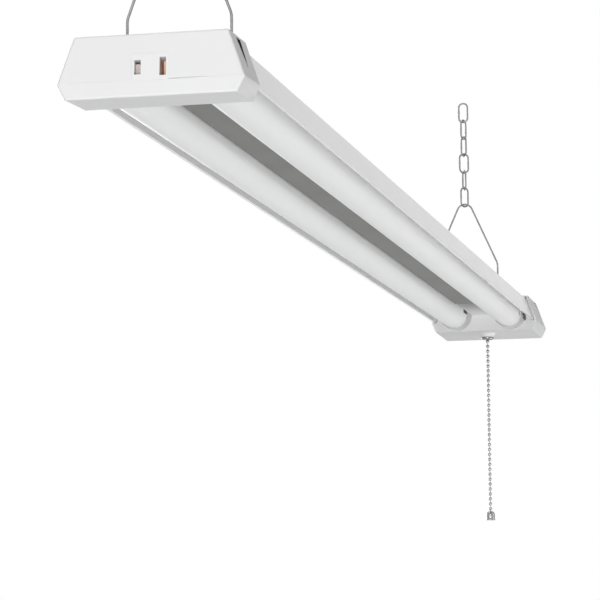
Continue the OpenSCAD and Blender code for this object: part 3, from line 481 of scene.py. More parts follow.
def finished(mesh: bmesh.types.BMesh, name: str, sharp_deg: float = 35.0,
             turn_out: bool = True) -> bpy.types.Object:
    """Turns a mesh drawn in millimetres into a smooth object in metres.

    Args:
        mesh: the drawn mesh, which is freed.
        name: the object's name.
        sharp_deg: edges that fold more than this stay sharp.
        turn_out: whether the faces are turned outwards first.

    Returns:
        The new object, at the origin.
    """
    bmesh.ops.remove_doubles(mesh, verts=mesh.verts, dist=MERGE_DISTANCE)
    if turn_out:
        bmesh.ops.recalc_face_normals(mesh, faces=mesh.faces)
    bmesh.ops.scale(mesh, vec=(MM, MM, MM), verts=mesh.verts)
    data = bpy.data.meshes.new(name)
    mesh.to_mesh(data)
    mesh.free()
    item = bpy.data.objects.new(name, data)
    bpy.context.scene.collection.objects.link(item)
    smooth(item, sharp_deg)
    return item


def stand_for(item: bpy.types.Object, node: str, palette: Palette, finish: Finish) -> None:
    """Dresses a finished piece and puts it in a carried-over node's place and body.

    Args:
        item: the finished piece.
        node: the node that it stands for.
        palette: the materials.
        finish: the piece's finish.
    """
    palette.dress(item, finish)
    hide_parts(node)
    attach(item, body_of(frame["nodes"][node])[0])
    log.info("%s stands for %s, %d faces", item.name, node, len(item.data.polygons))


def revolve(mesh: bmesh.types.BMesh, outline: list[tuple[float, float]],
            centre: tuple[float, float], steps: int = 40) -> None:
    """Spins a closed outline of radius and height about an upright axis.

    Args:
        mesh: the mesh to add to.
        outline: the corners as radius and height.
        centre: the axis's place in plan.
        steps: the number of steps in the full turn.
    """
    ring = [mesh.verts.new((centre[0] + radius, centre[1], height))
            for radius, height in outline]
    edges = [mesh.edges.new(pair) for pair in zip(ring, ring[1:] + ring[:1])]
    bmesh.ops.spin(mesh, geom=[*ring, *edges], cent=(*centre, 0), axis=(0, 0, 1),
                   dvec=(0, 0, 0), angle=2 * math.pi, steps=steps, use_merge=True)


class WirePen:
    """Draws round wire: a disc that is pushed straight on and spun round bends."""

    def __init__(self, start: Vector, heading: Vector, diameter: float,
                 sides: int = 14) -> None:
        """Sets the disc down at the wire's first end.

        Args:
            start: the middle of the first disc.
            heading: the direction in which the wire leaves.
            diameter: the wire's diameter.
            sides: the number of sides of the wire.
        """
        self.mesh = bmesh.new()
        turn = heading.to_track_quat("Z", "X").to_matrix().to_4x4()
        made = bmesh.ops.create_circle(self.mesh, cap_ends=True, radius=diameter / 2,
                                       segments=sides, matrix=Matrix.Translation(start) @ turn)
        self.place = start.copy()
        self.back = made["verts"][0].link_faces[0]
        self.front = self.back

    def _advance(self, made: list[bmesh.types.BMElemSeq]) -> None:
        """Takes the newest disc as the front."""
        self.front = next(part for part in made if isinstance(part, bmesh.types.BMFace))

    def run(self, to: Vector, steps: int = 1) -> None:
        """Pushes the disc straight on to a point.

        Args:
            to: the point.
            steps: the number of equal pushes.
        """
        stride = (to - self.place) / steps
        for _ in range(steps):
            self._advance(push(self.mesh, self.front, stride))
        self.place = to.copy()

    def bend(self, centre: Vector, axis: Vector, angle: float, steps: int) -> None:
        """Spins the disc round a bend.

        Args:
            centre: the bend's centre.
            axis: the axis of the turn.
            angle: the turn, in radians.
            steps: the number of steps in it.
        """
        disc = [self.front, *self.front.edges, *self.front.verts]
        made = bmesh.ops.spin(self.mesh, geom=disc, cent=centre, axis=axis, dvec=(0, 0, 0),
                              angle=angle, steps=steps)
        self._advance(made["geom_last"])
        self.place = centre + Matrix.Rotation(angle, 3, axis) @ (self.place - centre)

    def follow(self, path: list[Vector], radii: list[float]) -> None:
        """Draws on along a path from its first point.

        Args:
            path: the corners of the path.
            radii: the radius of the bend at each inner corner.
        """
        for k, radius in enumerate(radii, start=1):
            before = (path[k - 1] - path[k]).normalized()
            after = (path[k + 1] - path[k]).normalized()
            half = before.angle(after) / 2
            centre = path[k] + (before + after).normalized() * radius / math.sin(half)
            reach = radius / math.tan(half)
            self.run(path[k] + before * reach)
            axis = (path[k] + before * reach - centre).cross(path[k] + after * reach - centre)
            sweep = math.pi - 2 * half
            steps = max(BEND_STEPS_LEAST, round(sweep / BEND_STEP))
            self.bend(centre, axis.normalized(), sweep, steps)
        self.run(path[-1])

    def close(self) -> None:
        """Opens the two end discs so that the ends of a ring join."""
        bmesh.ops.delete(self.mesh, geom=[self.front, self.back], context="FACES_ONLY")
        bmesh.ops.remove_doubles(self.mesh, verts=self.mesh.verts, dist=MERGE_DISTANCE)


# ---------------------------------------------------------------- hangers and chains


@dataclass
class WireHanger:
    """A wire hanger: two feet under the top plate, two legs and an arch."""

    node: str
    bend_z: float
    leg_y: float = 27.5
    foot_z: float = -2.0
    foot_length: float = 6.0
    wire: float = 1.8
    drawn_wire: float = 1.5
    arch_r: float = 6.6
    leg_bend_r: float = 10.0
    foot_bend_r: float = 2.0

    def _apex(self, top_z: float) -> float:
        """The height of the sharp apex that the arch rounds off.

        Args:
            top_z: the top of the hanger's solid.

        Returns:
            The apex's height.
        """
        rise = top_z - self.wire / 2 - self.arch_r - self.bend_z
        half = math.pi / 2 - math.atan2(rise, self.leg_y) - math.asin(
            self.arch_r / math.hypot(self.leg_y, rise))
        return top_z - self.wire / 2 + self.arch_r * (1 / math.sin(half) - 1)

    def build(self, palette: Palette) -> None:
        """Draws the hanger as one bent wire.

        Args:
            palette: the materials.
        """
        low, high = span(self.node)
        x = (low.x + high.x) / 2
        tip = self.leg_y + self.foot_length
        half = [(-tip, self.foot_z), (-self.leg_y, self.foot_z), (-self.leg_y, self.bend_z)]
        plan = [*half, (0.0, self._apex(high.z)), *[(-y, z) for y, z in reversed(half)]]
        path = [Vector((x, y, z)) for y, z in plan]
        pen = WirePen(path[0], path[1] - path[0], self.drawn_wire)
        pen.follow(path, [self.foot_bend_r, self.leg_bend_r, self.arch_r, self.leg_bend_r,
                          self.foot_bend_r])
        stand_for(finished(pen.mesh, f"{self.node}_wire"), self.node, palette, ZINC)


@dataclass
class LinkChain:
    """A chain of welded links, each turned against its neighbour."""

    end: str
    count: int
    wire: float = 1.5
    length: float = 18.0
    width: float = 9.0
    weld_reach: float = 1.5
    weld_swell: float = 0.16
    weld_steps: int = 4
    bend_steps: int = 14
    turns_deg: tuple[float, ...] = (0.0, 66.0, -49.0, 22.0, -62.0, 47.0)

    def _link(self, turn_deg: float, middle: Vector) -> bmesh.types.BMesh:
        """Draws one link with the swelling of its weld.

        Args:
            turn_deg: how far the link is turned about the chain.
            middle: the link's middle.

        Returns:
            The link's mesh.
        """
        side, straight = (self.width - self.wire) / 2, (self.length - self.width) / 2
        across = Vector((1, 0, 0))
        start = Vector((0, side, 0))
        pen = WirePen(start, Vector((0, 0, 1)), self.wire)
        pen.run(start + Vector((0, 0, self.weld_reach)), self.weld_steps)
        pen.run(start + Vector((0, 0, straight)))
        pen.bend(Vector((0, 0, straight)), across, math.pi, self.bend_steps)
        pen.run(Vector((0, -side, -straight)))
        pen.bend(Vector((0, 0, -straight)), across, math.pi, self.bend_steps)
        pen.run(start - Vector((0, 0, self.weld_reach)))
        pen.run(start, self.weld_steps)
        pen.close()
        for corner in pen.mesh.verts:
            near = 1 - abs(corner.co.z) / self.weld_reach
            if corner.co.y > side - self.wire and near > 0:
                foot = Vector((0, side, corner.co.z))
                corner.co = foot + (corner.co - foot) * (1 + self.weld_swell * near)
        bmesh.ops.rotate(pen.mesh, verts=pen.mesh.verts, cent=(0, 0, 0),
                         matrix=Matrix.Rotation(math.radians(turn_deg), 3, "Z"))
        bmesh.ops.translate(pen.mesh, verts=pen.mesh.verts, vec=middle)
        return pen.mesh

    def build(self, palette: Palette) -> None:
        """Draws every link of the chain.

        Args:
            palette: the materials.
        """
        for k in range(1, self.count + 1):
            node = f"{self.end}_link_{k}"
            low, high = span(node)
            mesh = self._link(self.turns_deg[k - 1], (low + high) / 2)
            stand_for(finished(mesh, f"{node}_wire"), node, palette, ZINC)


# ---------------------------------------------------------------- pull switch


@dataclass
class PullChain:
    """The bead chain, its bell and the flared bush that it runs through."""

    bead: float = 3.2
    pitch: float = 4.4
    neck: float = 0.9
    beads_below: int = 34
    beads_inside: int = 4
    bead_steps: tuple[int, int] = (18, 12)
    neck_sides: int = 10
    neck_least: float = 0.01
    flare_depth: float = 2.2
    bush_steps: int = 56
    bush_sharp_deg: float = 50.0
    bell_outline: tuple[tuple[float, float], ...] = (
        (0.65, 0.0), (1.5, -0.05), (2.4, -0.4), (3.1, -1.05), (3.6, -1.95), (3.85, -3.0),
        (3.92, -4.2), (3.86, -5.2), (3.78, -6.0), (3.82, -6.6), (4.0, -7.2), (4.15, -7.7),
        (4.08, -7.95), (3.85, -8.0), (3.55, -7.6), (3.35, -6.8), (3.22, -5.8), (3.18, -4.4),
        (3.05, -3.0), (2.75, -1.9), (2.1, -1.1), (1.1, -0.62), (0.65, -0.6))
    flare_outline: tuple[tuple[float, float], ...] = (
        (4.4, 0.0), (5.35, 0.0), (5.56, -0.18), (5.6, -0.5), (5.52, -1.0), (5.3, -1.55),
        (5.0, -1.95), (4.72, -2.16), (4.5, -2.2), (4.3, -2.1), (4.0, -1.72), (3.5, -1.1),
        (2.95, -0.6), (2.5, -0.2), (2.3, 0.0))
    bush_top_outline: tuple[tuple[float, float], ...] = (
        (2.3, 0.0), (4.0, 0.0), (4.0, -2.0), (4.4, -2.0))

    def _strand(self, node: str, count: int) -> bmesh.types.BMesh:
        """Threads beads on wire, upwards from a node's lowest bead to its top.

        Args:
            node: the carried-over node.
            count: the number of beads.

        Returns:
            The strand's mesh. A bead that fills its node alone has no wire.
        """
        low, high = span(node)
        x, z = (low.x + high.x) / 2, low.z + self.bead / 2
        mesh = bmesh.new()
        for k in range(count):
            bmesh.ops.create_uvsphere(mesh, u_segments=self.bead_steps[0],
                                      v_segments=self.bead_steps[1], radius=self.bead / 2,
                                      matrix=Matrix.Translation((x, 0, z + k * self.pitch)))
        height = high.z - z
        if height > self.bead / 2 + self.neck_least:
            bmesh.ops.create_cone(mesh, cap_ends=True, segments=self.neck_sides,
                                  radius1=self.neck / 2, radius2=self.neck / 2, depth=height,
                                  matrix=Matrix.Translation((x, 0, z + height / 2)))
        return mesh

    def build(self, palette: Palette) -> None:
        """Makes the strands, the bell and the bush.

        Args:
            palette: the materials.
        """
        for node, count in (("pull_lead", self.beads_inside), ("pull_joint_bead", 1),
                            ("pull_chain", self.beads_below)):
            strand = finished(self._strand(node, count), f"{node}_beads")
            stand_for(strand, node, palette, NICKEL)
        low, high = span("pull_bell")
        axis = ((low.x + high.x) / 2, (low.y + high.y) / 2)
        mesh = bmesh.new()
        revolve(mesh, [(r, high.z + z) for r, z in self.bell_outline], axis)
        stand_for(finished(mesh, "pull_bell_spun"), "pull_bell", palette, BELL_METAL)
        low, high = span("switch_bush")
        seat = low.z + self.flare_depth
        outline = [(r, seat + z) for r, z in self.flare_outline]
        outline += [(r, high.z + z) for r, z in self.bush_top_outline]
        mesh = bmesh.new()
        revolve(mesh, outline, axis, self.bush_steps)
        stand_for(finished(mesh, "switch_bush_spun", self.bush_sharp_deg), "switch_bush",
                  palette, BUSH_METAL)


@dataclass
class ReturnSpring:
    """The switch's return spring, which is pressed together as the chain is pulled."""

    node: str = "switch_spring"
    travel: float = 7.0

    def build(self, palette: Palette) -> None:
        """Copies the spring.

        Args:
            palette: the materials.
        """
        low, high = span(self.node)
        item = finished(node_copy(self.node), "return_spring")
        stand_for(item, self.node, palette, NICKEL)
        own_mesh(item)


# ---------------------------------------------------------------- tubes


# How far the tubes' cups reach into the far cap, in millimetres
CUP_IN_CAP = 8.0


@dataclass
class Tube:
    """One milky tube with the collars at its two ends."""

    side: str
    wall: float = 1.2
    rim: float = 0.25
    hook: tuple[float, float] = (1.6, 1.0)
    hook_drop: float = 1.4
    hook_bite: float = 0.4
    hook_short: float = 1.0
    collar_d: float = 26.4
    collar_rim: float = 0.5
    rim_share: float = 0.3
    cap_gap: float = 0.1
    cup_d: float = 22.8
    cup_wall: float = 1.5
    radius: float = field(init=False)
    middle: Vector = field(init=False)

    def __post_init__(self) -> None:
        """Reads the tube's radius and middle from its diffuser."""
        low, high = span(f"{self.side}_diffuser")
        self.radius = (high.y - low.y) / 2
        self.middle = Vector((0, (low.y + high.y) / 2, low.z + self.radius))

    def _spin(self, mesh: bmesh.types.BMesh, outline: list[tuple[float, float]], top: float,
              steps: int = 72) -> None:
        """Spins an outline about the tube's middle, open at the top.

        Args:
            mesh: the mesh to add to.
            outline: the corners as place along the light and radius.
            top: how far above the middle the outline starts and ends.
            steps: the number of steps in the turn.
        """
        reach = max(radius for _, radius in outline)
        lift = math.asin(top / reach)
        start = Vector((0, math.cos(lift), math.sin(lift)))
        corners = [mesh.verts.new(self.middle + start * radius + Vector((x, 0, 0)))
                   for x, radius in outline]
        face = mesh.faces.new(corners)
        bmesh.ops.spin(mesh, geom=[face, *face.edges, *face.verts], cent=self.middle,
                       axis=(1, 0, 0), dvec=(0, 0, 0), angle=-(math.pi + 2 * lift), steps=steps)

    def _diffuser(self) -> bmesh.types.BMesh:
        """Draws the milky wall with a bevelled rim at each end and its two inner hooks.

        Returns:
            The wall's mesh.
        """
        low, high = span(f"{self.side}_diffuser")
        radius, inner, rim = self.radius, self.radius - self.wall, self.rim
        x0, x1 = low.x, high.x
        mesh = bmesh.new()
        self._spin(mesh, [(x0, inner), (x0, radius - rim), (x0 + rim, radius), (x1 - rim, radius),
                          (x1, radius - rim), (x1, inner)], high.z - self.middle.z)
        hook_w, hook_t = self.hook
        hook_z = high.z - self.hook_drop - hook_t / 2
        reach = math.sqrt(inner**2 - (hook_z + hook_t / 2 - self.middle.z) ** 2)
        for way in (-1, 1):
            hook_y = self.middle.y + way * (reach + self.hook_bite - hook_w / 2)
            place = Matrix.Translation(((x0 + x1) / 2, hook_y, hook_z))
            size = Matrix.Diagonal((x1 - x0 - self.hook_short, hook_w, hook_t, 1))
            bmesh.ops.create_cube(mesh, size=1.0, matrix=place @ size)
        return mesh

    def _collars(self) -> bmesh.types.BMesh:
        """Draws the two cups that close the tube, each with a collar in view.

        Returns:
            The mesh of both.
        """
        tube, cups = span(f"{self.side}_diffuser"), span(f"{self.side}_tube_ends")
        outer, cup, inner = self.collar_d / 2, self.cup_d / 2, self.cup_d / 2 - self.cup_wall
        rim, soft = self.collar_rim, self.collar_rim * self.rim_share
        mesh = bmesh.new()
        for start, mouth, end in ((tube[0].x, span("near_cap")[1].x, cups[0].x),
                                  (tube[1].x, far_mouth_of_cap(), cups[1].x)):
            out = 1 if end > start else -1
            edge, bottom = mouth - out * self.cap_gap, end - out * self.cup_wall
            self._spin(mesh, [(start, inner), (start, outer - rim),
                              (start + out * soft, outer - soft), (start + out * rim, outer),
                              (edge, outer), (edge, cup), (end, cup), (end, 0.0),
                              (bottom, 0.0), (bottom, inner)],
                       tube[1].z - self.middle.z)
        return mesh

    def build(self, palette: Palette) -> None:
        """Makes the diffuser and the collars.

        Args:
            palette: the materials.
        """
        wall = finished(self._diffuser(), f"{self.side}_tube_wall")
        stand_for(wall, f"{self.side}_diffuser", palette, MILKY_PLASTIC)
        collars = finished(self._collars(), f"{self.side}_tube_collars")
        stand_for(collars, f"{self.side}_tube_ends", palette, TUBE_END)


def far_mouth_of_cap() -> float:
    """Where the far cap's mouth stands along the light, without its tongue."""
    return span("left_tube_ends")[1].x - CUP_IN_CAP


@dataclass
class TubeEndShadePatches:
    """Painted shade beside the tubes' far ends: black patches 0.1 mm proud of a tube or collar,
    standing for the shade in the gaps there.

    Each lobe is (side, radius, x from, x to, angle from, angle to); 0 degrees points to +Y.
    """

    centre: tuple[float, float] = (24.2, -14.3)
    depth: float = 0.4
    steps: int = 6
    lobes: tuple[tuple[float, ...], ...] = (
        (-1, 13.3, 494.0, 505.0, 168.0, 199.0), (-1, 13.3, 501.0, 510.0, 156.0, 183.0),
        (1, 12.3, 474.0, 491.5, 173.0, 189.0), (-1, 12.3, 442.0, 448.0, -8.0, 6.0))

    def _lobe(self, mesh: bmesh.types.BMesh, lobe: tuple[float, ...]) -> None:
        """Bends one closed patch round its tube.

        Args:
            mesh: the mesh to add to.
            lobe: the patch's side, radius, places and angles.
        """
        side, radius, x_from, x_to, turn_from, turn_to = lobe
        there = range(self.steps + 1)
        ring = []
        for r, order in ((radius, there), (radius - self.depth, reversed(there))):
            for k in order:
                turn = -math.radians(turn_from + (turn_to - turn_from) * k / self.steps)
                ring.append((side * self.centre[0] + r * math.cos(turn),
                             self.centre[1] + r * math.sin(turn)))
        face = mesh.faces.new([mesh.verts.new((x_from, y, z)) for y, z in ring])
        push(mesh, face, Vector((x_to - x_from, 0, 0)))

    def build(self, palette: Palette) -> None:
        """Makes every lobe in one piece.

        Args:
            palette: the materials.
        """
        mesh = bmesh.new()
        for lobe in self.lobes:
            self._lobe(mesh, lobe)
        item = finished(mesh, "tube_end_painted_shade")
        # Black plastic here is painted shade, not a part
        palette.dress(item, BLACK_PLASTIC)
        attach(item, "fixture")
        log.info("%s is trim, %d faces", item.name, len(item.data.polygons))


# ---------------------------------------------------------------- cord gland


@dataclass
class CordGland:
    """The cord's gland, with a gripped flange that seats on the far cap's end."""

    grips: int = 30
    grip_depth: float = 0.35
    grip_from: float = 6.8
    shank: float = 9.0
    shank_r: float = 5.4
    bore: float = 3.75
    flange_outline: tuple[tuple[float, float], ...] = (
        (7.35, 0.0), (7.5, 0.15), (7.4, 0.7), (6.95, 1.9), (6.7, 2.2), (6.1, 2.3), (5.95, 2.6))
    tip_outline: tuple[tuple[float, float], ...] = (
        (5.6, -0.4), (5.3, -0.08), (5.1, 0.0), (4.25, 0.0), (3.75, -0.4))

    def build(self, palette: Palette) -> None:
        """Spins the gland about its own axis and presses the grips into its flange.

        Args:
            palette: the materials.
        """
        low, high = span("cord_gland")
        seat, middle_z = low.x + self.shank, (low.z + high.z) / 2
        outline = [(self.bore, low.x), (self.shank_r, low.x), (self.shank_r, seat)]
        outline += [(r, seat + x) for r, x in self.flange_outline]
        outline += [(r, high.x + x) for r, x in self.tip_outline]
        mesh = bmesh.new()
        revolve(mesh, outline, (0, 0), self.grips * 2)
        for corner in mesh.verts:
            flat = Vector((corner.co.x, corner.co.y, 0))
            step = round(math.atan2(flat.y, flat.x) / (math.pi / self.grips))
            if flat.length > self.grip_from and step % 2:
                corner.co -= flat.normalized() * self.grip_depth
        bmesh.ops.rotate(mesh, verts=mesh.verts, cent=(0, 0, 0),
                         matrix=Matrix.Rotation(math.pi / 2, 3, "Y"))
        bmesh.ops.translate(mesh, verts=mesh.verts, vec=(0, 0, middle_z))
        stand_for(finished(mesh, "cord_gland_spun"), "cord_gland", palette, BLACK_PLASTIC)


# ---------------------------------------------------------------- shells and outlet


# Inner faces look towards this height in the middle of the housing
CHANNEL_MIDDLE_Z = -9.0 * MM

# Cut ends beside the near cap's wedge openings, in metres; they get the inner faces' painted shade
WEDGE_CUT_Y = 0.037
WEDGE_CUT_X = (-0.563, -0.552)

# Faces this far outside the far cap's mouth, in metres, are the tongue's
MOUTH_STEP = 0.002

# Corners closer than this, in millimetres, and folds flatter than this are merged in a shell
SHELL_MERGE = 0.002
FLAT_DEG = 0.4

# Edges sharper than this are softened
SOFT_EDGE_DEG = 50

# Shares of a face's normal past which it counts as facing up, or along the light
FACES_UP = 0.7
FACES_ALONG = 0.5


class Inside(Enum):
    """How a shell's inner faces are told from its outer ones."""

    SECTION = "section"
    TOP = "top"


@dataclass
class SoftShell:
    """A moulded or folded shell, as a merged copy with clean shading.

    `edge` is the width of its softened edges and `grow` how much wider it is drawn, both in
    millimetres. `along` bounds the places, in metres, where inner faces get a near-black coat,
    which is painted shade, and `cuts` adds the cut ends beside the wedge openings to them.
    """

    node: str
    finish: Finish
    edge: float = 0.0
    sharp_deg: float = 35.0
    grow: float = 0.0
    # Painted shade: a near-black finish for the inner faces
    inner_backer_and_shade: Finish | None = None
    inside: Inside = Inside.SECTION
    along: tuple[float, float] = (-1.0, 1.0)
    # The tongue's finish, with painted shade
    tongue: Finish | None = None
    cuts: bool = False

    def _is_cut(self, polygon: bpy.types.MeshPolygon) -> bool:
        """Whether a face is a cut end beside a wedge opening."""
        place, across = polygon.center, abs(polygon.normal.x) > FACES_ALONG
        return across and abs(place.y) > WEDGE_CUT_Y and WEDGE_CUT_X[0] < place.x < WEDGE_CUT_X[1]

    def _is_inner(self, polygon: bpy.types.MeshPolygon) -> bool:
        """Tells the inner faces, which get painted shade, from the outer ones.

        Args:
            polygon: one face of the shell.

        Returns:
            Whether it belongs to the shell's inside.
        """
        if not self.along[0] < polygon.center.x < self.along[1]:
            return False
        if self.inside is Inside.TOP:
            return polygon.normal.z > FACES_UP
        if self.cuts and self._is_cut(polygon):
            return True
        out = Vector((0, polygon.center.y, polygon.center.z - CHANNEL_MIDDLE_Z))
        return abs(polygon.normal.x) < FACES_ALONG and polygon.normal.dot(out) < 0

    def _paint_inside_shade(self, item: bpy.types.Object, palette: Palette) -> None:
        """Paints shade on the inner faces with a near-black coat.

        Args:
            item: the shell.
            palette: the materials.
        """
        item.data.materials.append(palette.material(self.inner_backer_and_shade))
        for polygon in item.data.polygons:
            if self._is_inner(polygon):
                polygon.material_index = 1

    def _paint_tongue_shade(self, item: bpy.types.Object, palette: Palette) -> None:
        """Gives the tongue outside the mouth its finish with painted shade.

        Args:
            item: the shell.
            palette: the materials.
        """
        item.data.materials.append(palette.material(self.tongue))
        mouth = far_mouth_of_cap() * MM
        for polygon in item.data.polygons:
            if polygon.center.x < mouth - MOUTH_STEP:
                polygon.material_index = len(item.data.materials) - 1

    def build(self, palette: Palette) -> None:
        """Merges a copy of the shell, softens its edges where asked, and shades it.

        Args:
            palette: the materials.
        """
        mesh = node_copy(self.node)
        bmesh.ops.remove_doubles(mesh, verts=mesh.verts, dist=SHELL_MERGE)
        bmesh.ops.dissolve_limit(mesh, angle_limit=math.radians(FLAT_DEG), verts=mesh.verts,
                                 edges=mesh.edges)
        if self.grow:
            low, high = span(self.node)
            size, middle = high - low, (low + high) / 2
            wider = (1, 1 + 2 * self.grow / size.y, 1 + 2 * self.grow / size.z)
            bmesh.ops.scale(mesh, vec=wider, verts=mesh.verts, space=Matrix.Translation(-middle))
        item = finished(mesh, f"{self.node}_shell", self.sharp_deg, turn_out=False)
        if self.edge:
            bevel = item.modifiers.new("soft_edges", "BEVEL")
            bevel.width, bevel.segments = self.edge * MM, 2
            bevel.limit_method, bevel.angle_limit = "ANGLE", math.radians(SOFT_EDGE_DEG)
        flat = item.modifiers.new("flat_faces", "WEIGHTED_NORMAL")
        flat.keep_sharp = True
        stand_for(item, self.node, palette, self.finish)
        # Painted shade on the inner faces
        if self.inner_backer_and_shade:
            self._paint_inside_shade(item, palette)
        if self.tongue:
            self._paint_tongue_shade(item, palette)


@dataclass
class OutletLeaves:
    """The leaves behind one slot, with the lip that flares into the slot's view."""

    node: str
    finish: Finish
    lip_from: float
    lip_to: float
    lip_t: float = 0.3
    lip_lean: float = 0.5
    lip_short: float = 1.6
    setback: float = 0.45

    def build(self, palette: Palette) -> None:
        """Merges a copy of the leaves and adds the flared lip across one side.

        Args:
            palette: the materials.
        """
        low, high = span(self.node)
        middle = (low + high) / 2
        mesh = node_copy(self.node)
        width, height = abs(self.lip_to - self.lip_from), high.z - low.z - self.lip_short
        lip_y = middle.y + (self.lip_from + self.lip_to) / 2
        place = Matrix.Translation((low.x + self.setback, lip_y, middle.z))
        size = Matrix.Diagonal((self.lip_t, width, height, 1))
        lip = bmesh.ops.create_cube(mesh, size=1.0, matrix=place @ size)
        edge_y, near = middle.y + self.lip_to, width / 2
        free = [corner for corner in lip["verts"] if abs(corner.co.y - edge_y) < near]
        bmesh.ops.translate(mesh, verts=free, vec=(self.lip_lean, 0, 0))
        leaves = finished(mesh, f"{self.node}_leaves", turn_out=False)
        stand_for(leaves, self.node, palette, self.finish)


@dataclass
class MouthRib:
    """The thin rib inside the far cap's mouth that closes the gap round the housing."""

    thickness: float = 1.2
    clearance: float = 0.05
    top_y: float = 38.0
    depth: float = 18.4
    lean: float = 1 / 3
    band: float = 0.6
    setback: float = 0.15

    def build(self, palette: Palette) -> None:
        """Extrudes the rib's band beside each wall.

        Args:
            palette: the materials.
        """
        x, top = far_mouth_of_cap() + self.setback, self.top_y + self.clearance
        foot = top + self.depth * self.lean
        corners = [(top, 0.0), (foot, -self.depth), (foot + self.band, -self.depth),
                   (top + self.band, 0.0)]
        mesh = bmesh.new()
        for side in (-1, 1):
            face = mesh.faces.new([mesh.verts.new((x, side * y, z)) for y, z in corners])
            push(mesh, face, Vector((self.thickness, 0, 0)))
        item = finished(mesh, "far_mouth_rib")
        palette.dress(item, CAP_PLASTIC)
        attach(item, "fixture")
        log.info("%s is trim, %d faces", item.name, len(item.data.polygons))


# The caps, the housing and the tray get painted shade on their inner faces
SHELLS = (
    SoftShell("near_cap", CAP_PLASTIC, sharp_deg=20.0, inner_backer_and_shade=BACKER_AND_PAINTED_SHADE, along=(-0.5725, 0.0),
              cuts=True),
    SoftShell("far_cap", CAP_PLASTIC, sharp_deg=20.0, inner_backer_and_shade=BACKER_AND_PAINTED_SHADE, along=(0.513, 0.6),
              tongue=TONGUE_PAINTED_SHADE),
    SoftShell("housing", WHITE_PAINT, inner_backer_and_shade=BACKER_AND_PAINTED_SHADE),
    SoftShell("reflector_tray", WHITE_PAINT, inner_backer_and_shade=BACKER_AND_PAINTED_SHADE, inside=Inside.TOP),
    SoftShell("driver_cover", GREY_PAINT),
    SoftShell("outlet_body", OUTLET_PLASTIC, edge=0.06, grow=0.06),
)


# ---------------------------------------------------------------- studio


@dataclass(frozen=True)
class Lamp:
    """One soft square lamp that looks at a point of the light."""

    name: str
    place: tuple[float, float, float]
    aim: tuple[float, float, float]
    size: float
    power: float

    def hang(self) -> None:
        """Adds the lamp to the scene."""
        data = bpy.data.lights.new(self.name, "AREA")
        data.size, data.energy = self.size, self.power
        item = bpy.data.objects.new(self.name, data)
        item.location = self.place
        look = Vector(self.aim) - Vector(self.place)
        item.rotation_euler = look.to_track_quat("-Z", "Y").to_euler()
        bpy.context.scene.collection.objects.link(item)


LAMPS = (
    Lamp("front", (-3.8, 0.3, 0.5), (-0.57, 0.0, 0.0), 1.8, 41.5),
    Lamp("low_front", (-4.0, -0.5, -1.7), (0.0, 0.0, 0.0), 1.8, 118.0),
    Lamp("low_side", (0.8, -2.0, -1.7), (0.1, 0.0, 0.0), 2.0, 30.0),
    Lamp("under", (0.3, -0.3, -3.2), (0.0, 0.0, 0.0), 3.0, 13.0),
    Lamp("side", (0.2, -3.0, 0.6), (0.0, 0.0, 0.0), 1.8, 15.0),
    Lamp("above", (0.4, 0.6, 2.8), (0.0, 0.0, 0.0), 2.2, 58.0),
    Lamp("back", (3.0, 2.4, 0.2), (0.0, 0.0, 0.0), 2.0, 60.0),
)


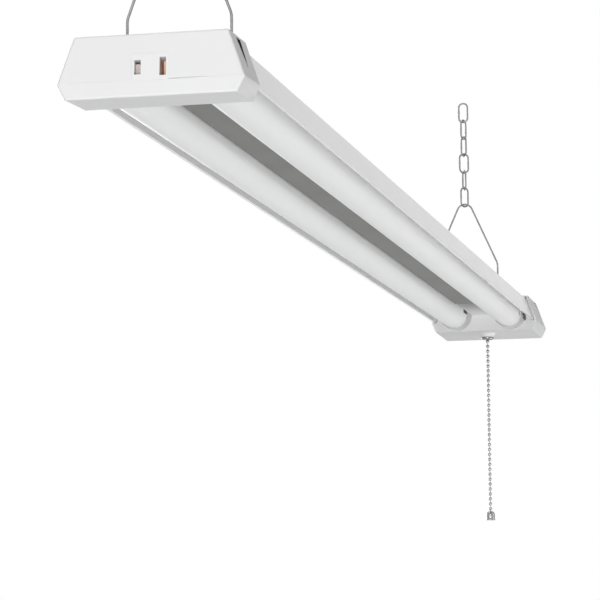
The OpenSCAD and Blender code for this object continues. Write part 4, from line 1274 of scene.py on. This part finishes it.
@dataclass
class Studio:
    """The camera, the lamps, the floor and the white surroundings."""

    photo_px: float = 600.0
    sensor_mm: float = 36.0
    focal_px: float = 2615.4
    turn: tuple[float, float, float] = (-0.12174, 0.2188, -0.0224)
    offset_mm: tuple[float, float, float] = (-73.4, -130.9, 1278.2)
    origin_mm: tuple[float, float, float] = (575.0, 0.0, -1.9)
    clip: tuple[float, float] = (0.05, 50.0)
    floor_z: float = -7.6
    floor_size: float = 9.0
    floor_tone: float = 0.9
    soft_strength: float = 0.03

    def camera(self) -> None:
        """Makes the scene's camera at the photograph's place."""
        vector = Vector(self.turn)
        turned = Matrix.Rotation(vector.length, 3, vector.normalized())
        axes = turned @ Matrix(((0, -1, 0), (0, 0, -1), (1, 0, 0)))
        place = -(axes.transposed() @ Vector(self.offset_mm)) - Vector(self.origin_mm)
        to_world = Matrix((axes[0], -axes[1], -axes[2])).transposed().to_4x4()
        data = bpy.data.cameras.new("photo_camera")
        data.sensor_width = self.sensor_mm
        data.lens = self.focal_px * self.sensor_mm / self.photo_px
        data.clip_start, data.clip_end = self.clip
        item = bpy.data.objects.new("photo_camera", data)
        item.matrix_world = Matrix.Translation(place * MM) @ to_world
        bpy.context.scene.collection.objects.link(item)
        bpy.context.scene.camera = item

    def lamps(self) -> None:
        """Hangs every soft lamp."""
        for lamp in LAMPS:
            lamp.hang()

    def _background_rays(self, tree: bpy.types.NodeTree) -> bpy.types.NodeSocket:
        """Tells the rays that show the background from those that only light.

        Args:
            tree: the node tree to add to.

        Returns:
            A socket with 1 for rays from the camera, from gloss and through glass, else 0.
        """
        rays = tree.nodes.new("ShaderNodeLightPath")
        reached = rays.outputs["Is Camera Ray"]
        for title in ("Is Glossy Ray", "Is Transmission Ray"):
            either = tree.nodes.new("ShaderNodeMath")
            either.operation = "MAXIMUM"
            link(tree, reached, either.inputs[0])
            link(tree, rays.outputs[title], either.inputs[1])
            reached = either.outputs[0]
        return reached

    def surroundings(self) -> None:
        """Makes the world white where the camera, gloss or glass sees it, and softly lit."""
        world = bpy.data.worlds.new("studio")
        bpy.context.scene.world = world
        world.use_nodes = True
        tree = world.node_tree
        tree.nodes.clear()
        leave = tree.nodes.new("ShaderNodeOutputWorld")
        soft = tree.nodes.new("ShaderNodeBackground")
        bright = tree.nodes.new("ShaderNodeBackground")
        soft.inputs["Color"].default_value = (1.0, 1.0, 1.0, 1.0)
        soft.inputs["Strength"].default_value = self.soft_strength
        bright.inputs["Color"].default_value = (1.0, 1.0, 1.0, 1.0)
        bright.inputs["Strength"].default_value = 1.0
        mix = tree.nodes.new("ShaderNodeMixShader")
        link(tree, self._background_rays(tree), mix.inputs[0])
        link(tree, soft.outputs[0], mix.inputs[1])
        link(tree, bright.outputs[0], mix.inputs[2])
        link(tree, mix.outputs[0], leave.inputs["Surface"])

    def floor(self) -> None:
        """Lays a wide pale floor under the light, white where the camera sees it."""
        mesh = bmesh.new()
        bmesh.ops.create_grid(mesh, x_segments=1, y_segments=1, size=self.floor_size)
        bmesh.ops.translate(mesh, verts=mesh.verts, vec=(0, 0, self.floor_z))
        data = bpy.data.meshes.new("floor")
        mesh.to_mesh(data)
        mesh.free()
        item = bpy.data.objects.new("floor", data)
        bpy.context.scene.collection.objects.link(item)
        material = bpy.data.materials.new("floor_white")
        material.use_nodes = True
        tree, tone = material.node_tree, self.floor_tone
        shader = tree.nodes["Principled BSDF"]
        shader.inputs["Base Color"].default_value = (tone, tone, tone, 1.0)
        shader.inputs["Roughness"].default_value = 0.9
        glow = tree.nodes.new("ShaderNodeEmission")
        mix = tree.nodes.new("ShaderNodeMixShader")
        link(tree, self._background_rays(tree), mix.inputs[0])
        link(tree, shader.outputs[0], mix.inputs[1])
        link(tree, glow.outputs[0], mix.inputs[2])
        link(tree, mix.outputs[0], tree.nodes["Material Output"].inputs["Surface"])
        data.materials.append(material)

    def build(self) -> None:
        """Builds the whole studio."""
        self.camera()
        self.lamps()
        self.surroundings()
        self.floor()
        bpy.context.scene.view_settings.view_transform = "Standard"


def main() -> None:
    """Builds the studio and the light, and reports each piece."""
    logging.basicConfig(level=logging.INFO)
    palette = Palette()
    Studio().build()
    dress_nodes(palette)
    log.info("dressed %d nodes", len(NODE_FINISH))
    for part in (WireHanger("near_hanger", bend_z=22.0), WireHanger("far_hanger", bend_z=18.0),
                 LinkChain("near", count=5), LinkChain("far", count=6),
                 PullChain(), ReturnSpring(), Tube("left"), Tube("right"),
                 CordGland(), MouthRib(), TubeEndShadePatches(),
                 OutletLeaves("live_contact", TINNED_BRASS, lip_from=2.2, lip_to=-0.9),
                 OutletLeaves("neutral_contact", COPPER_LEAF, lip_from=-2.2, lip_to=0.1),
                 *SHELLS):
        part.build(palette)


if __name__ == "__main__":
    main()
